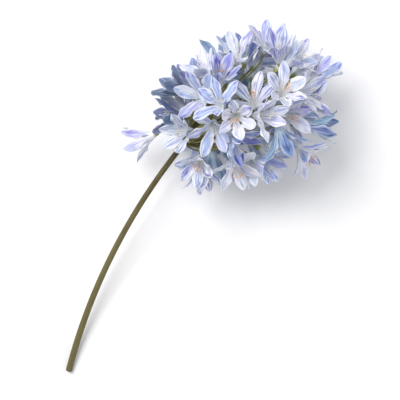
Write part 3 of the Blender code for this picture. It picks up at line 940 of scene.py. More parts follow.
class Graph:
    """Short calls that add nodes to one shader tree and give back their outputs."""

    def __init__(self, tree: bpy.types.NodeTree) -> None:
        """Start on a tree."""
        self.tree = tree

    def node(self, kind: str, **settings: object) -> bpy.types.Node:
        """Add a node.

        Args:
            kind: Its type.
            settings: Its properties.

        Returns:
            The node.
        """
        node = self.tree.nodes.new(kind)
        for name, value in settings.items():
            setattr(node, name, value)
        return node

    def put(self, socket: bpy.types.NodeSocket, value: Input) -> None:
        """Link a value to a socket, or set the socket's own number or colour.

        Args:
            socket: The input socket.
            value: The value.
        """
        if isinstance(value, Value):
            self.tree.links.new(value.socket, socket)
        elif socket.type == "RGBA":
            socket.default_value = (*value, 1.0)
        else:
            socket.default_value = value

    def fill(self, node: bpy.types.Node, values: Sequence[Input] | dict[str, Input]) -> Value:
        """Set a node's inputs.

        Args:
            node: The node.
            values: The inputs' values, in order or by name.

        Returns:
            The node's first output.
        """
        named = values.items() if isinstance(values, dict) else enumerate(values)
        for key, value in named:
            self.put(node.inputs[key], value)
        return Value(self, node.outputs[0])

    def maths(self, operation: str, first: Value | float, second: Value | float = 0.0) -> Value:
        """A Math node's result."""
        return self.fill(self.node("ShaderNodeMath", operation=operation), (first, second))

    def vector(self, x: Value, y: Value, z: Value) -> Value:
        """A vector of three numbers."""
        return self.fill(self.node("ShaderNodeCombineXYZ"), (x, y, z))

    def mix(self, share: Value, first: Input, second: Input) -> Value:
        """Mix two colours.

        Args:
            share: Share of the second one.
            first: A colour.
            second: Another colour.

        Returns:
            The mixed colour.
        """
        node = self.node("ShaderNodeMix", data_type="RGBA")
        for index, value in zip(MIX_COLOUR_INPUTS, (share, first, second)):
            self.put(node.inputs[index], value)
        return Value(self, node.outputs[MIX_COLOUR_OUTPUT])

    def noise(
        self, place: Value, scale: Value | float, detail: Value | float, stretch: Place = (1.0, 1.0, 1.0)
    ) -> Value:
        """Soft noise from 0 to 1 over the surface.

        Args:
            place: The place that it reads.
            scale: Waves for one unit of it.
            detail: Finer layers.
            stretch: Factors for the place's three numbers.

        Returns:
            The noise.
        """
        stretched = self.fill(self.node("ShaderNodeMapping"), {"Vector": place, "Scale": stretch})
        return self.fill(
            self.node("ShaderNodeTexNoise"), {"Vector": stretched, "Scale": scale, "Detail": detail}
        )

    def place(self) -> Value:
        """The place on the piece, in metres."""
        return Value(self, self.node("ShaderNodeTexCoord").outputs["Object"])

    def attribute(self, name: str) -> Value:
        """A number that the piece's points carry."""
        return Value(self, self.node("ShaderNodeAttribute", attribute_name=name).outputs["Fac"])

    def growth(self) -> tuple[Value, Value]:
        """Read the piece's own map.

        Returns:
            The places across or around, and along.
        """
        parts = self.node("ShaderNodeSeparateXYZ")
        self.put(parts.inputs[0], Value(self, self.node("ShaderNodeUVMap", uv_map=MAP_NAME).outputs[0]))
        return Value(self, parts.outputs[0]), Value(self, parts.outputs[1])

    def group(self, tree: bpy.types.NodeTree, values: dict[str, Input]) -> dict[str, Value]:
        """Place a node group.

        Args:
            tree: The group.
            values: Its inputs by name.

        Returns:
            Its outputs by name.
        """
        node = self.node("ShaderNodeGroup", node_tree=tree)
        self.fill(node, values)
        return {output.name: Value(self, output) for output in node.outputs}


class GroupGraph(Graph):
    """A graph on a new shader node group, with named inputs and number outputs."""

    def __init__(self, name: str, inputs: dict[str, float | Place]) -> None:
        """Start the group.

        Args:
            name: Its name.
            inputs: Its inputs, with their usual values.
        """
        super().__init__(bpy.data.node_groups.new(name, "ShaderNodeTree"))
        for title, value in inputs.items():
            kind = "NodeSocketVector" if isinstance(value, tuple) else "NodeSocketFloat"
            socket = self.tree.interface.new_socket(title, in_out="INPUT", socket_type=kind)
            socket.default_value = value
        node = self.node("NodeGroupInput")
        self.given = {title: Value(self, node.outputs[title]) for title in inputs}

    def give(self, **results: Value) -> bpy.types.NodeTree:
        """Put results out under their names, which finishes the group.

        Args:
            results: The group's outputs.

        Returns:
            The group.
        """
        for title in results:
            self.tree.interface.new_socket(title, in_out="OUTPUT", socket_type="NodeSocketFloat")
        node = self.node("NodeGroupOutput")
        for title, value in results.items():
            self.put(node.inputs[title], value)
        return self.tree


@dataclass(frozen=True)
class Pattern:
    """Soft noise over a petal: its waves across, along and from petal to petal, and the band it is cut to."""

    waves: Place
    detail: float
    band: Range
    gives: Range = (0.0, 1.0)

    def over(self, graph: Graph, place: Value) -> Value:
        """The pattern at a place on a petal."""
        return graph.noise(place, 1.0, self.detail, self.waves).smooth(*self.band, *self.gives)


@dataclass(frozen=True)
class PetalMarkings:
    """A petal's markings, read from its map: midrib, veins, broad streaks, blotches and pale rim.

    Places across are shares of half a petal's width, and places along are shares of its length.
    """

    own_shift: float = 61.0
    midrib_width: Range = (0.17, 0.07)
    midrib_full: float = 0.8
    fade_start: float = 0.5
    fade_to: float = 0.2
    edge_fade: float = 0.72
    wander_waves: Place = (0.8, 1.6, 1.0)
    vein_count: float = 6.0
    vein_wander: float = 0.24
    vein_band: float = 0.35
    vein_start: float = 0.15
    vein_patches: Pattern = Pattern((7.0, 1.3, 1.0), 2.0, (0.34, 0.62), (0.15, 1.0))
    threads: Pattern = Pattern((15.0, 0.9, 1.4), 2.0, (0.50, 0.72), (0.0, 0.75))
    streaks: Pattern = Pattern((3.2, 0.9, 1.3), 3.0, (0.43, 0.60))
    blotches: Pattern = Pattern((1.4, 2.0, 1.7), 3.0, (0.50, 0.66))
    rim_wander: float = 0.6
    rim_band: Range = (0.62, 0.95)
    vein_height: float = 0.5
    midrib_depth: float = 0.7

    def make(self) -> bpy.types.NodeTree:
        """Build the node group.

        Returns:
            The group.
        """
        graph = GroupGraph("petal_markings", {"Across": 0.5, "Along": 0.5, "Chance": 0.5})
        along = graph.given["Along"]
        centred = graph.given["Across"] * 2.0 - 1.0
        aside = graph.maths("ABSOLUTE", centred)
        place = graph.vector(centred, along, graph.given["Chance"] * self.own_shift)
        inward = aside.smooth(self.edge_fade, 1.0, 1.0, 0.0)
        fade = along.smooth(self.fade_start, 1.0, 1.0, self.fade_to)

        width = along.smooth(0.0, 1.0, *self.midrib_width)
        midrib = (1.0 - aside / width).clamped().smooth(0.0, self.midrib_full) * fade

        wander = graph.noise(place, 1.0, 1.0, self.wander_waves) - 0.5
        spread = centred + wander * self.vein_wander
        ridge = graph.maths("COSINE", spread * (self.vein_count * math.pi)).smooth(self.vein_band, 1.0)
        lines = graph.maths(
            "MAXIMUM", ridge * self.vein_patches.over(graph, place), self.threads.over(graph, place)
        )
        veins = lines * (fade * inward) * along.smooth(0.0, self.vein_start)
        return graph.give(
            Midrib=midrib,
            Veins=veins,
            Streaks=self.streaks.over(graph, place),
            Blotches=self.blotches.over(graph, place),
            Rim=(aside + wander * self.rim_wander).smooth(*self.rim_band),
            Height=veins * self.vein_height - midrib * self.midrib_depth,
        )


@dataclass(frozen=True)
class SkinFibres:
    """Lengthwise fibres of a green skin, the specks between them, and the bumps they make."""

    fibre_detail: float = 3.0
    speck_scale: float = 2.4
    speck_waves: Place = (1.0, 1.0, 6.0)
    speck_band: Range = (0.6, 0.74)
    speck_depth: float = 0.35

    def make(self) -> bpy.types.NodeTree:
        """Build the node group.

        Returns:
            The group.
        """
        graph = GroupGraph("skin_fibres", {"Round": 0.0, "Along": 0.0, "Count": 24.0, "Length": 3.0})
        turn = graph.given["Round"] * math.tau
        wide = graph.given["Count"] / math.tau
        place = graph.vector(
            graph.maths("COSINE", turn) * wide,
            graph.maths("SINE", turn) * wide,
            graph.given["Along"] * graph.given["Length"],
        )
        fibres = graph.noise(place, 1.0, self.fibre_detail)
        specks = graph.noise(place, self.speck_scale, 2.0, self.speck_waves).smooth(*self.speck_band)
        return graph.give(Fibres=fibres, Specks=specks, Height=fibres - specks * self.speck_depth)


@dataclass(frozen=True)
class FineGrain:
    """The fine grain of a plant's skin, and the roughness that it makes."""

    def make(self) -> bpy.types.NodeTree:
        """Build the node group.

        Returns:
            The group.
        """
        inputs = {"Place": (0.0, 0.0, 0.0), "Scale": 1500.0, "Detail": 2.0, "Gloss": 0.4, "Rough": 0.6}
        graph = GroupGraph("fine_grain", inputs)
        grain = graph.noise(*(graph.given[title] for title in ("Place", "Scale", "Detail")))
        roughness = grain.smooth(*NOISE_BAND, graph.given["Gloss"], graph.given["Rough"])
        return graph.give(Grain=grain, Roughness=roughness)


@dataclass(frozen=True)
class Finish:
    """What all the finishes share: a name and a Principled shader."""

    name: str

    def start(self) -> tuple[Graph, bpy.types.Material, bpy.types.Node]:
        """Start a new material.

        Returns:
            Its graph, the material and its Principled shader.
        """
        material = bpy.data.materials.new(self.name)
        material.use_nodes = True
        return Graph(material.node_tree), material, material.node_tree.nodes["Principled BSDF"]

    @staticmethod
    def grained(
        graph: Graph, grain: bpy.types.NodeTree, scale: float, detail: float, roughness: Range
    ) -> tuple[Value, Value]:
        """Place the fine grain on the piece.

        Args:
            graph: The material's graph.
            grain: The node group of fine grain.
            scale: Waves of grain for one metre.
            detail: Finer layers.
            roughness: The roughness at its lowest and its highest places.

        Returns:
            The grain, and the roughness.
        """
        gloss, rough = roughness
        values = {"Place": graph.place(), "Scale": scale, "Detail": detail, "Gloss": gloss, "Rough": rough}
        results = graph.group(grain, values)
        return results["Grain"], results["Roughness"]

    @staticmethod
    def bump(graph: Graph, height: Value, strength: float, distance: float) -> Value:
        """The normal that a height gives.

        Args:
            graph: The material's graph.
            height: The height over the surface.
            strength: How much of the bump shows.
            distance: Its height in metres.

        Returns:
            The normal.
        """
        values = {"Strength": strength, "Distance": distance, "Height": height}
        return graph.fill(graph.node("ShaderNodeBump"), values)


@dataclass(frozen=True)
class PetalFinish(Finish):
    """A petal's thin satin skin: pale throat and rim, blue midrib, veins and clouded patches.

    Petals of the blooms on the head's left side are darkened with painted shade, a slate blue mixed in.
    Places along a petal run from 0 at the throat to 1 at the tip, and are below 0 on the tube. Each petal's
    chance number sets its own strength, and its products with the two draw factors give it two more such
    numbers.
    """

    pale: Colour
    body: Colour
    deep: Colour
    vein: Colour
    vivid: Colour
    patch_share: float
    throat: Colour = (0.80, 0.84, 0.80)
    calyx: Colour = (0.30, 0.36, 0.10)
    # Painted shade: the slate blue mixed into petals of blooms on the head's shaded left side, and its share
    # at full shade.
    painted_shade_colour: Colour = (0.088, 0.103, 0.195)
    painted_shade_share: float = 0.78
    body_at_ends: Range = (-0.1, 0.3)
    body_full: float = 0.9
    # The outer face is bodied more: partly the petal's own deeper back, partly painted shade for the gaps
    # between blooms.
    outside_body_and_shade: float = 0.25
    body_chance: Range = (-0.3, 0.25)
    streak_share: float = 0.95
    streak_start: float = 0.2
    patch_start: Range = (0.2, 0.75)
    vivid_draw: float = 13.7
    vivid_band: Range = (0.62, 0.76)
    vivid_share: float = 0.9
    # The pale rim's share, from no painted shade to full painted shade, where the rim shows less.
    rim_share: Range = (0.75, 0.3)
    midrib_outside: float = 0.8
    midrib_less_inside: float = 0.4
    vein_share: float = 0.55
    foot_band: Range = (0.22, -0.05)
    foot_share: float = 0.7
    # The pale throat keeps this share of itself in petals under full painted shade.
    foot_share_painted_shade: float = 0.5
    calyx_band: Range = (-0.06, -0.24)
    hue_draw: float = 7.3
    hue_drift: float = 0.018
    saturation: Range = (0.85, 1.12)
    grain_scale: float = 900.0
    grain_detail: float = 2.0
    grain_height: float = 0.22
    roughness: Range = (0.44, 0.60)
    bump_strength: float = 0.5
    bump_height: float = 0.00018

    def make(self, markings: bpy.types.NodeTree, grain: bpy.types.NodeTree) -> bpy.types.Material:
        """Build the material.

        Args:
            markings: The node group of petal markings.
            grain: The node group of fine grain.

        Returns:
            The material.
        """
        graph, material, shader = self.start()
        across, along = graph.growth()
        chance, inner, painted_shade = (graph.attribute(name) for name in ("chance", "inner_face", "painted_shade"))
        lines = graph.group(markings, {"Across": across, "Along": along, "Chance": chance})
        fine, roughness = self.grained(graph, grain, self.grain_scale, self.grain_detail, self.roughness)
        outside = 1.0 - inner

        own = chance.smooth(0.0, 1.0, *self.body_chance) + lines["Streaks"] * self.streak_share
        # The outer face is bodied more, partly for its own deeper colour and partly as painted shade in the
        # gaps.
        bodied = along.smooth(0.0, self.body_full, *self.body_at_ends) + outside * self.outside_body_and_shade
        bodied = (bodied + own * along.smooth(0.0, self.streak_start)).clamped()
        colour = graph.mix(bodied, self.pale, self.body)
        blotched = lines["Blotches"] * along.smooth(*self.patch_start)
        colour = graph.mix(blotched * self.patch_share, colour, self.deep)
        vivid = graph.maths("FRACT", chance * self.vivid_draw).smooth(*self.vivid_band, 0.0, self.vivid_share)
        colour = graph.mix(blotched * vivid, colour, self.vivid)
        # Painted shade: blooms on the head's left side are darkened towards slate blue.
        colour = graph.mix(painted_shade * self.painted_shade_share, colour, self.painted_shade_colour)
        # The pale rim shows less under the painted shade.
        colour = graph.mix(lines["Rim"] * painted_shade.smooth(0.0, 1.0, *self.rim_share), colour, self.pale)
        rib = lines["Midrib"] * (self.midrib_outside - inner * self.midrib_less_inside)
        colour = graph.mix(rib, colour, self.deep)
        colour = graph.mix(lines["Veins"] * self.vein_share, colour, self.vein)
        foot = along.smooth(*self.foot_band, 0.0, self.foot_share)
        # The pale throat shows less under the painted shade.
        colour = graph.mix(foot * painted_shade.smooth(0.0, 1.0, 1.0, self.foot_share_painted_shade), colour, self.throat)
        drift = graph.maths("FRACT", chance * self.hue_draw)
        tinted = graph.fill(
            graph.node("ShaderNodeHueSaturation"),
            {
                "Hue": drift.smooth(0.0, 1.0, 0.5 - self.hue_drift, 0.5 + self.hue_drift),
                "Saturation": chance.smooth(0.0, 1.0, *self.saturation),
                "Color": colour,
            },
        )
        green = along.smooth(*self.calyx_band) * outside
        height = lines["Height"] + fine * self.grain_height
        graph.fill(
            shader,
            {
                "Base Color": graph.mix(green, tinted, self.calyx),
                "Roughness": roughness,
                "Normal": self.bump(graph, height, self.bump_strength, self.bump_height),
                "Specular IOR Level": 0.33,
                "Subsurface Weight": 0.35,
                "Subsurface Radius": (0.9, 0.95, 1.0),
                "Subsurface Scale": 0.0018,
                "Sheen Weight": 0.15,
                "Sheen Roughness": 0.4,
            },
        )
        return material


@dataclass(frozen=True)
class SkinFinish(Finish):
    """A green or brown skin with fibres along it, which changes colour from one end to the other."""

    start_colour: Colour
    end_colour: Colour
    fibre_colour: Colour
    speck_colour: Colour
    shade_colour: Colour
    fibre_count: float
    fibre_length: float
    roughness: Range
    bump_height: float
    end_at: float = 1.0
    cloud_scale: float = 45.0
    cloud_shift: Range = (-0.15, 0.15)
    shade_from: float = 0.2
    shade_share: float = 0.6
    fibre_band: Range = (0.42, 0.66)
    fibre_share: float = 0.8
    speck_share: float = 0.6
    bump_strength: float = 0.7

    def make(self, fibres: bpy.types.NodeTree) -> bpy.types.Material:
        """Build the material.

        Args:
            fibres: The node group of skin fibres.

        Returns:
            The material.
        """
        graph, material, shader = self.start()
        around, along = graph.growth()
        values = {"Round": around, "Along": along, "Count": self.fibre_count, "Length": self.fibre_length}
        lines = graph.group(fibres, values)
        cloud = graph.noise(graph.place(), self.cloud_scale, 2.0)
        shift = (along / self.end_at).clamped() + cloud.smooth(*NOISE_BAND, *self.cloud_shift)
        colour = graph.mix(shift.clamped(), self.start_colour, self.end_colour)
        shade = graph.attribute("chance").smooth(self.shade_from, 1.0, 0.0, self.shade_share)
        colour = graph.mix(shade, colour, self.shade_colour)
        threads = lines["Fibres"].smooth(*self.fibre_band, 0.0, self.fibre_share)
        colour = graph.mix(threads, colour, self.fibre_colour)
        graph.fill(
            shader,
            {
                "Base Color": graph.mix(lines["Specks"] * self.speck_share, colour, self.speck_colour),
                "Roughness": lines["Fibres"].smooth(*NOISE_BAND, *self.roughness),
                "Normal": self.bump(graph, lines["Height"], self.bump_strength, self.bump_height),
                "Specular IOR Level": 0.25,
            },
        )
        return material


@dataclass(frozen=True)
class PithFinish(Finish):
    """The pale spongy pith of the cut end, dotted with darker strands."""

    pith: Colour = (0.62, 0.63, 0.42)
    strand: Colour = (0.20, 0.19, 0.08)
    strands_per_metre: float = 1500.0
    strand_band: Range = (0.12, 0.3)
    roughness: float = 0.75
    bump_strength: float = 0.6
    bump_height: float = 0.0002

    def make(self) -> bpy.types.Material:
        """Build the material.

        Returns:
            The material.
        """
        graph, material, shader = self.start()
        cells = graph.node("ShaderNodeTexVoronoi")
        graph.fill(cells, {"Vector": graph.place(), "Scale": self.strands_per_metre})
        distance = Value(graph, cells.outputs["Distance"])
        dots = distance.smooth(*self.strand_band, 1.0, 0.0)
        normal = self.bump(graph, distance, self.bump_strength, self.bump_height)
        colour = graph.mix(dots, self.pith, self.strand)
        graph.fill(shader, {"Base Color": colour, "Roughness": self.roughness, "Normal": normal})
        return material


@dataclass(frozen=True)
class ThreadFinish(Finish):
    """A filament's or style's smooth skin, which changes colour towards its tip."""

    foot: Colour
    tip: Colour
    foot_end: float = 0.1
    grain_scale: float = 1500.0
    grain_detail: float = 1.0
    roughness: Range = (0.35, 0.5)
    bump_strength: float = 0.3
    bump_height: float = 0.0001

    def make(self, grain: bpy.types.NodeTree) -> bpy.types.Material:
        """Build the material.

        Args:
            grain: The node group of fine grain.

        Returns:
            The material.
        """
        graph, material, shader = self.start()
        _, along = graph.growth()
        fine, roughness = self.grained(graph, grain, self.grain_scale, self.grain_detail, self.roughness)
        graph.fill(
            shader,
            {
                "Base Color": graph.mix(along.smooth(self.foot_end, 1.0), self.foot, self.tip),
                "Roughness": roughness,
                "Normal": self.bump(graph, fine, self.bump_strength, self.bump_height),
                "Subsurface Weight": 0.3,
                "Subsurface Scale": 0.001,
            },
        )
        return material


@dataclass(frozen=True)
class PollenFinish(Finish):
    """The grainy skin of an anther, orange when it is ripe."""

    dark: Colour = (0.86, 0.36, 0.07)
    light: Colour = (0.93, 0.58, 0.22)
    light_band: Range = (0.35, 0.65)
    grain_scale: float = 2600.0
    grain_detail: float = 2.0
    roughness: Range = (0.65, 0.9)
    bump_strength: float = 0.8
    bump_height: float = 0.0003

    def make(self, grain: bpy.types.NodeTree) -> bpy.types.Material:
        """Build the material.

        Args:
            grain: The node group of fine grain.

        Returns:
            The material.
        """
        graph, material, shader = self.start()
        fine, roughness = self.grained(graph, grain, self.grain_scale, self.grain_detail, self.roughness)
        colour = graph.mix(fine.smooth(*self.light_band), self.dark, self.light)
        normal = self.bump(graph, fine, self.bump_strength, self.bump_height)
        graph.fill(shader, {"Base Color": colour, "Roughness": roughness, "Normal": normal})
        return material


@dataclass(frozen=True)
class Wave:
    """A sine over a petal: its radians along the petal, over half its width, and for the petal's own wave."""

    along: float
    across: float
    own: float = 1.0

    def phase(self, petal: Petal, across: np.ndarray, along: np.ndarray) -> np.ndarray:
        """The sine's angle at each place."""
        return self.along * along + self.across * across + self.own * petal.wave


@dataclass(frozen=True)
class Corolla:
    """A bloom's tube and its six grooved, rippled petals, as one thin skin."""

    columns: int = 12
    rows: int = 18
    row_crowding: float = 1.35
    thickness: float = 0.00036
    edge_thinning: float = 0.6
    tip_thinning: float = 0.35
    tip_half: float = 0.00005
    midrib_depth: float = 0.00030
    midrib_width: float = 0.15
    midrib_fade: float = 0.4
    waist_lean: float = 0.8
    rib_waist: float = 0.3
    flute_height: float = 0.00010
    flutes: Wave = Wave(0.0, 2.6 * math.tau)
    ripple: float = 0.00120
    ripples: Wave = Wave(16.0, 2.3, 3.1)
    ripple_power: int = 4
    crumple: float = 0.00060
    crumples: Wave = Wave(9.0, 1.7, 2.1)
    crumple_folds: Wave = Wave(-4.0, 3.4)
    twist: float = 0.0018
    twist_variety: float = 5.3
    tip_taper: float = 0.15
    tip_variety: float = 4.3
    tip_start: float = 0.68
    tip_curl: float = 0.00048
    curl_swing: float = 0.00104
    curl_variety: float = 7.7
    curl_start: float = 0.8
    tube_rows: int = 7
    tube_swell: float = 0.85
    tube_flute: float = 0.00022
    tube_map: float = 0.3
    foot_bulge: float = 0.00045
    foot_share: float = 0.3
    well_rows: int = 5
    well_radius: float = 0.0012
    well_share: float = 1.3

    def curl(self, petal: Petal) -> float:
        """How far a petal's tip curls towards the inside of the bloom."""
        return self.tip_curl + self.curl_swing * math.sin(self.curl_variety * petal.wave)

    def relief(self, petal: Petal, across: np.ndarray, along: np.ndarray) -> np.ndarray:
        """How far the fine form lifts a petal from its plain one: midrib, flutes, ripples, twist and curl.

        Args:
            petal: The petal.
            across: Place between its edges.
            along: Place from throat to tip.

        Returns:
            The lift at each place.
        """
        waist = np.sin(math.pi * along**self.waist_lean)
        rib = np.exp(-((across / self.midrib_width) ** 2)) * (1 - along) ** self.midrib_fade
        flutes = self.flute_height * np.cos(self.flutes.phase(petal, across, along))
        ripple = self.ripple * np.sin(self.ripples.phase(petal, np.sign(across), along))
        crumple = self.crumple * np.sin(self.crumples.phase(petal, across, along))
        crumple = crumple * np.cos(self.crumple_folds.phase(petal, across, along))
        twist = self.twist * math.sin(self.twist_variety * petal.wave) * across * along**2
        curl = self.curl(petal) * np.maximum((along - self.curl_start) / (1 - self.curl_start), 0) ** 2
        waved = (flutes + ripple * np.abs(across) ** self.ripple_power + crumple) * waist
        return waved + twist + curl - self.midrib_depth * rib * waist**self.rib_waist

    def add_tube(self, mesher: Mesher, bloom: Bloom, inside: bool, chance: float) -> list[int]:
        """Add the tube's outer skin, or the well inside it.

        Args:
            mesher: Where it is gathered.
            bloom: The bloom.
            inside: Whether it is the well.
            chance: The number that colours it.

        Returns:
            The points of its rim, from the first petal's edge round to the same point again.
        """
        depth, count, foot = SIZES.tube_length, self.tube_rows, SIZES.tube_radius_base
        if inside:
            depth, count, foot = SIZES.well_depth * self.well_share, self.well_rows, self.well_radius
        ring = SIZES.petals * self.columns
        turns = (np.arange(ring) - self.columns / 2) * math.tau / ring
        share = np.linspace(0, 1, count + 1)[:, None]
        radius = foot + (SIZES.tube_radius_throat - foot) * share**self.tube_swell
        if inside:
            radius = radius - self.thickness / 2 * share
        else:
            bulge = np.sin(math.pi * np.minimum(share / self.foot_share, 1)) ** 2
            radius = radius + self.thickness / 2 * share + self.foot_bulge * bulge
        wide = radius + self.tube_flute * np.cos(SIZES.petals * turns) * np.sin(math.pi * share)
        height = np.broadcast_to(SIZES.tube_length - depth * (1 - share), wide.shape)
        rings = np.stack((wide * np.cos(turns), wide * np.sin(turns), height), axis=-1)
        start = mesher.add_points(bloom.placed(rings), chance, float(inside))
        rows = [[start + row * ring + k % ring for k in range(ring + 1)] for row in range(count + 1)]
        across = np.linspace(0, 1, self.columns + 1)
        along = (share[:, 0] - 1) * self.tube_map
        for row in range(count):
            for first in range(0, ring, self.columns):
                part = slice(first, first + self.columns + 1)
                span = (along[row], along[row + 1])
                mesher.add_strip(rows[row][part], rows[row + 1][part], across, span, flip=inside)
        middle = mesher.add_points(bloom.placed(rings[0].mean(axis=0)), chance, float(inside))
        centred = np.full(ring + 1, 0.5)
        mesher.add_fan(rows[0], middle, centred, along[0], (0.5, along[0]), flip=not inside)
        return rows[-1]

    def add_petal(
        self, mesher: Mesher, bloom: Bloom, petal: Petal, rims: list[list[int]], chance: float
    ) -> None:
        """Add one petal to the tube's rim.

        Args:
            mesher: Where it is gathered.
            bloom: The bloom.
            petal: The petal.
            rims: The rim's points that it grows from, on its outer and its inner face.
            chance: The number that colours it.
        """
        across = np.linspace(-1, 1, self.columns + 1)
        along = 1 - (1 - np.linspace(0, 1, self.rows + 1)) ** self.row_crowding
        grid_across, grid_along = np.meshgrid(across, along[1:-1])
        tipward = np.maximum((grid_along - self.tip_start) / (1 - self.tip_start), 0)
        taper = self.tip_taper * (1 + math.sin(self.tip_variety * petal.wave))
        grid_across = grid_across * (1 - taper * np.sin(tipward * math.pi / 2) ** 2)
        relief = self.relief(petal, grid_across, grid_along)
        half = self.thickness / 2 * (1 - self.edge_thinning * np.abs(grid_across) ** 3)
        half = half * (1 - self.tip_thinning * grid_along)
        map_across = (across + 1) / 2
        width = self.columns + 1
        edges = []
        for inside, sign in ((0, -1), (1, 1)):
            points = SIZES.petal_points(petal, grid_across, grid_along, relief + sign * half)
            start = mesher.add_points(bloom.placed(points), chance, inside)
            tip_lift = self.curl(petal) + sign * self.tip_half
            tip_point = SIZES.petal_points(petal, np.zeros(1), np.ones(1), tip_lift)
            tip = mesher.add_points(bloom.placed(tip_point), chance, inside)
            rows = [rims[inside]]
            rows += [range(start + row * width, start + (row + 1) * width) for row in range(self.rows - 1)]
            for row in range(self.rows - 1):
                span = (along[row], along[row + 1])
                mesher.add_strip(rows[row], rows[row + 1], map_across, span, flip=inside)
            mesher.add_fan(rows[-1], tip, map_across, along[-2], (0.5, 1.0), flip=inside)
            edges.append([[row[end] for row in rows] + [tip] for end in (0, -1)])
        for edge, (outer, inner) in enumerate(zip(*edges)):
            for row in range(self.rows):
                below, above = (outer[row], inner[row]), (outer[row + 1], inner[row + 1])
                mesher.add_strip(below, above, (edge, edge), (along[row], along[row + 1]), flip=not edge)

    def add(self, mesher: Mesher, bloom: Bloom, chances: list[float]) -> None:
        """Add the tube and the six petals.

        Args:
            mesher: Where they are gathered.
            bloom: The bloom.
            chances: A number for each petal that colours it.
        """
        rims = [self.add_tube(mesher, bloom, inside, sum(chances) / SIZES.petals) for inside in (False, True)]
        for index, (petal, chance) in enumerate(zip(bloom.petals, chances)):
            part = slice(index * self.columns, (index + 1) * self.columns + 1)
            self.add_petal(mesher, bloom, petal, [rim[part] for rim in rims], chance)


# The finishes' places in a bloom's list, after the petals' own at 0.
FILAMENT = 1
ANTHER = 2
STYLE = 3


@dataclass(frozen=True)
class Stamens:
    """The six threads of a bloom with their anthers, and its style."""

    points: int = 11
    sides: int = 6
    open_flare: float = math.radians(45)
    least_slope: float = 0.15
    filament_out: float = 0.0020
    filament_foot: float = 0.0046
    filament_turn: float = 0.12
    filament_length: float = 0.0225
    filament_lengths: Range = (0.86, 1.06)
    filament_radius: float = 0.00030
    filament_taper: float = 0.35
    filament_spread: float = 0.0016
    filament_spreads: Range = (0.6, 1.4)
    filament_stray: float = 0.0014
    filament_sag: float = 0.0085
    filament_lift: float = 1.25
    anther_length: float = 0.0044
    anther_width: float = 0.0012
    anther_tilt: Range = (0.5, 1.3)
    anther_points: int = 8
    anther_bow: float = 0.18
    anther_blunt: float = 0.03
    groove_depth: float = 0.25
    groove_power: int = 6
    style_foot: float = 0.0040
    style_length: float = 0.0285
    style_least: float = 0.85
    style_extra: float = 0.75
    style_radius: float = 0.00028
    style_profile: tuple[float, ...] = (1.1, 1, 1, 1, 0.95, 0.9, 0.85, 0.8, 0.8, 1.1, 1.5)
    style_sag: float = 1.15
    style_lift: float = 1.4

    def drop(self, bloom: Bloom) -> np.ndarray:
        """Find which way the threads sag.

        Args:
            bloom: The bloom.

        Returns:
            The way down across the bloom's own axis, in its own frame.
        """
        local = bloom.frame().T @ -UP
        flat = np.array((local[0], local[1], 0.0))
        size = np.linalg.norm(flat)
        return flat / size if size > self.least_slope else np.array((1.0, 0.0, 0.0))

    def add(self, mesher: Mesher, bloom: Bloom, rng: random.Random) -> None:
        """Add the filaments with their anthers, and the style.

        Args:
            mesher: Where they are gathered.
            bloom: The bloom.
            rng: The seeded source of their small differences.
        """
        down = self.drop(bloom)
        share = np.linspace(0, 1, self.points)
        openness = min(min(petal.flare for petal in bloom.petals) / self.open_flare, 1.0)
        for k in range(SIZES.petals):
            turn = math.tau * (k + 0.5) / SIZES.petals + rng.uniform(-self.filament_turn, self.filament_turn)
            length = self.filament_length * rng.uniform(*self.filament_lengths)
            around = np.array((math.cos(turn), math.sin(turn), 0.0))
            spread = self.filament_spread * openness * rng.uniform(*self.filament_spreads)
            radial = self.filament_out + spread * share
            sag = self.filament_sag * share * (self.filament_lift - share) * openness
            stray = rng.uniform(0.0, math.tau)
            points = radial[:, None] * around + sag[:, None] * down
            points += np.outer(self.filament_stray * share**2, (math.cos(stray), math.sin(stray), 0.0))
            points[:, 2] = self.filament_foot + length * share
            radii = self.filament_radius * (1 - self.filament_taper * share)
            mesher.add_tube(sweep(bloom.placed(points), radii, self.sides), FILAMENT)
            self.add_anther(mesher, bloom, points, rng)
        length = self.style_length * (self.style_least + self.style_extra * rng.random() ** 2)
        sag = self.style_sag * self.filament_sag * share * (self.style_lift - share) * openness
        points = sag[:, None] * down
        points[:, 2] = self.style_foot + length * share
        radii = self.style_radius * np.array(self.style_profile)
        mesher.add_tube(sweep(bloom.placed(points), radii, self.sides), STYLE)

    def add_anther(self, mesher: Mesher, bloom: Bloom, filament: np.ndarray, rng: random.Random) -> None:
        """Add an anther: a small bean with a groove, balanced across its filament's tip.

        Args:
            mesher: Where it is gathered.
            bloom: The bloom.
            filament: The filament's points in the bloom's own frame.
            rng: The seeded source of its tilt.
        """
        count = self.anther_points
        run = unit(filament[-1] - filament[-2])
        tilt = np.array([rng.uniform(-1, 1) for _ in range(3)])
        lengthways = unit(run + rng.uniform(*self.anther_tilt) * unit(np.cross(run, tilt)))
        steps = np.linspace(-1, 1, count)
        points = filament[-1] + np.outer(steps * self.anther_length / 2, lengthways)
        points += np.outer(self.anther_length * self.anther_bow * steps**2, run)
        swell = np.sqrt(np.maximum(1 - steps**2, self.anther_blunt))
        turns = np.arange(count) * math.tau / count
        groove = 1 - self.groove_depth * np.abs(np.cos(turns)) ** self.groove_power
        radii = self.anther_width / 2 * swell[:, None] * groove[None, :]
        mesher.add_tube(sweep(bloom.placed(points), radii, count), ANTHER)


@dataclass(frozen=True)
class BloomFinishes:
    """The materials of all blooms: petals by tone, filament and anther by age, and the style."""

    petals: dict[Tone, bpy.types.Material]
    ripe: tuple[bpy.types.Material, bpy.types.Material]
    young: tuple[bpy.types.Material, bpy.types.Material]
    style: bpy.types.Material


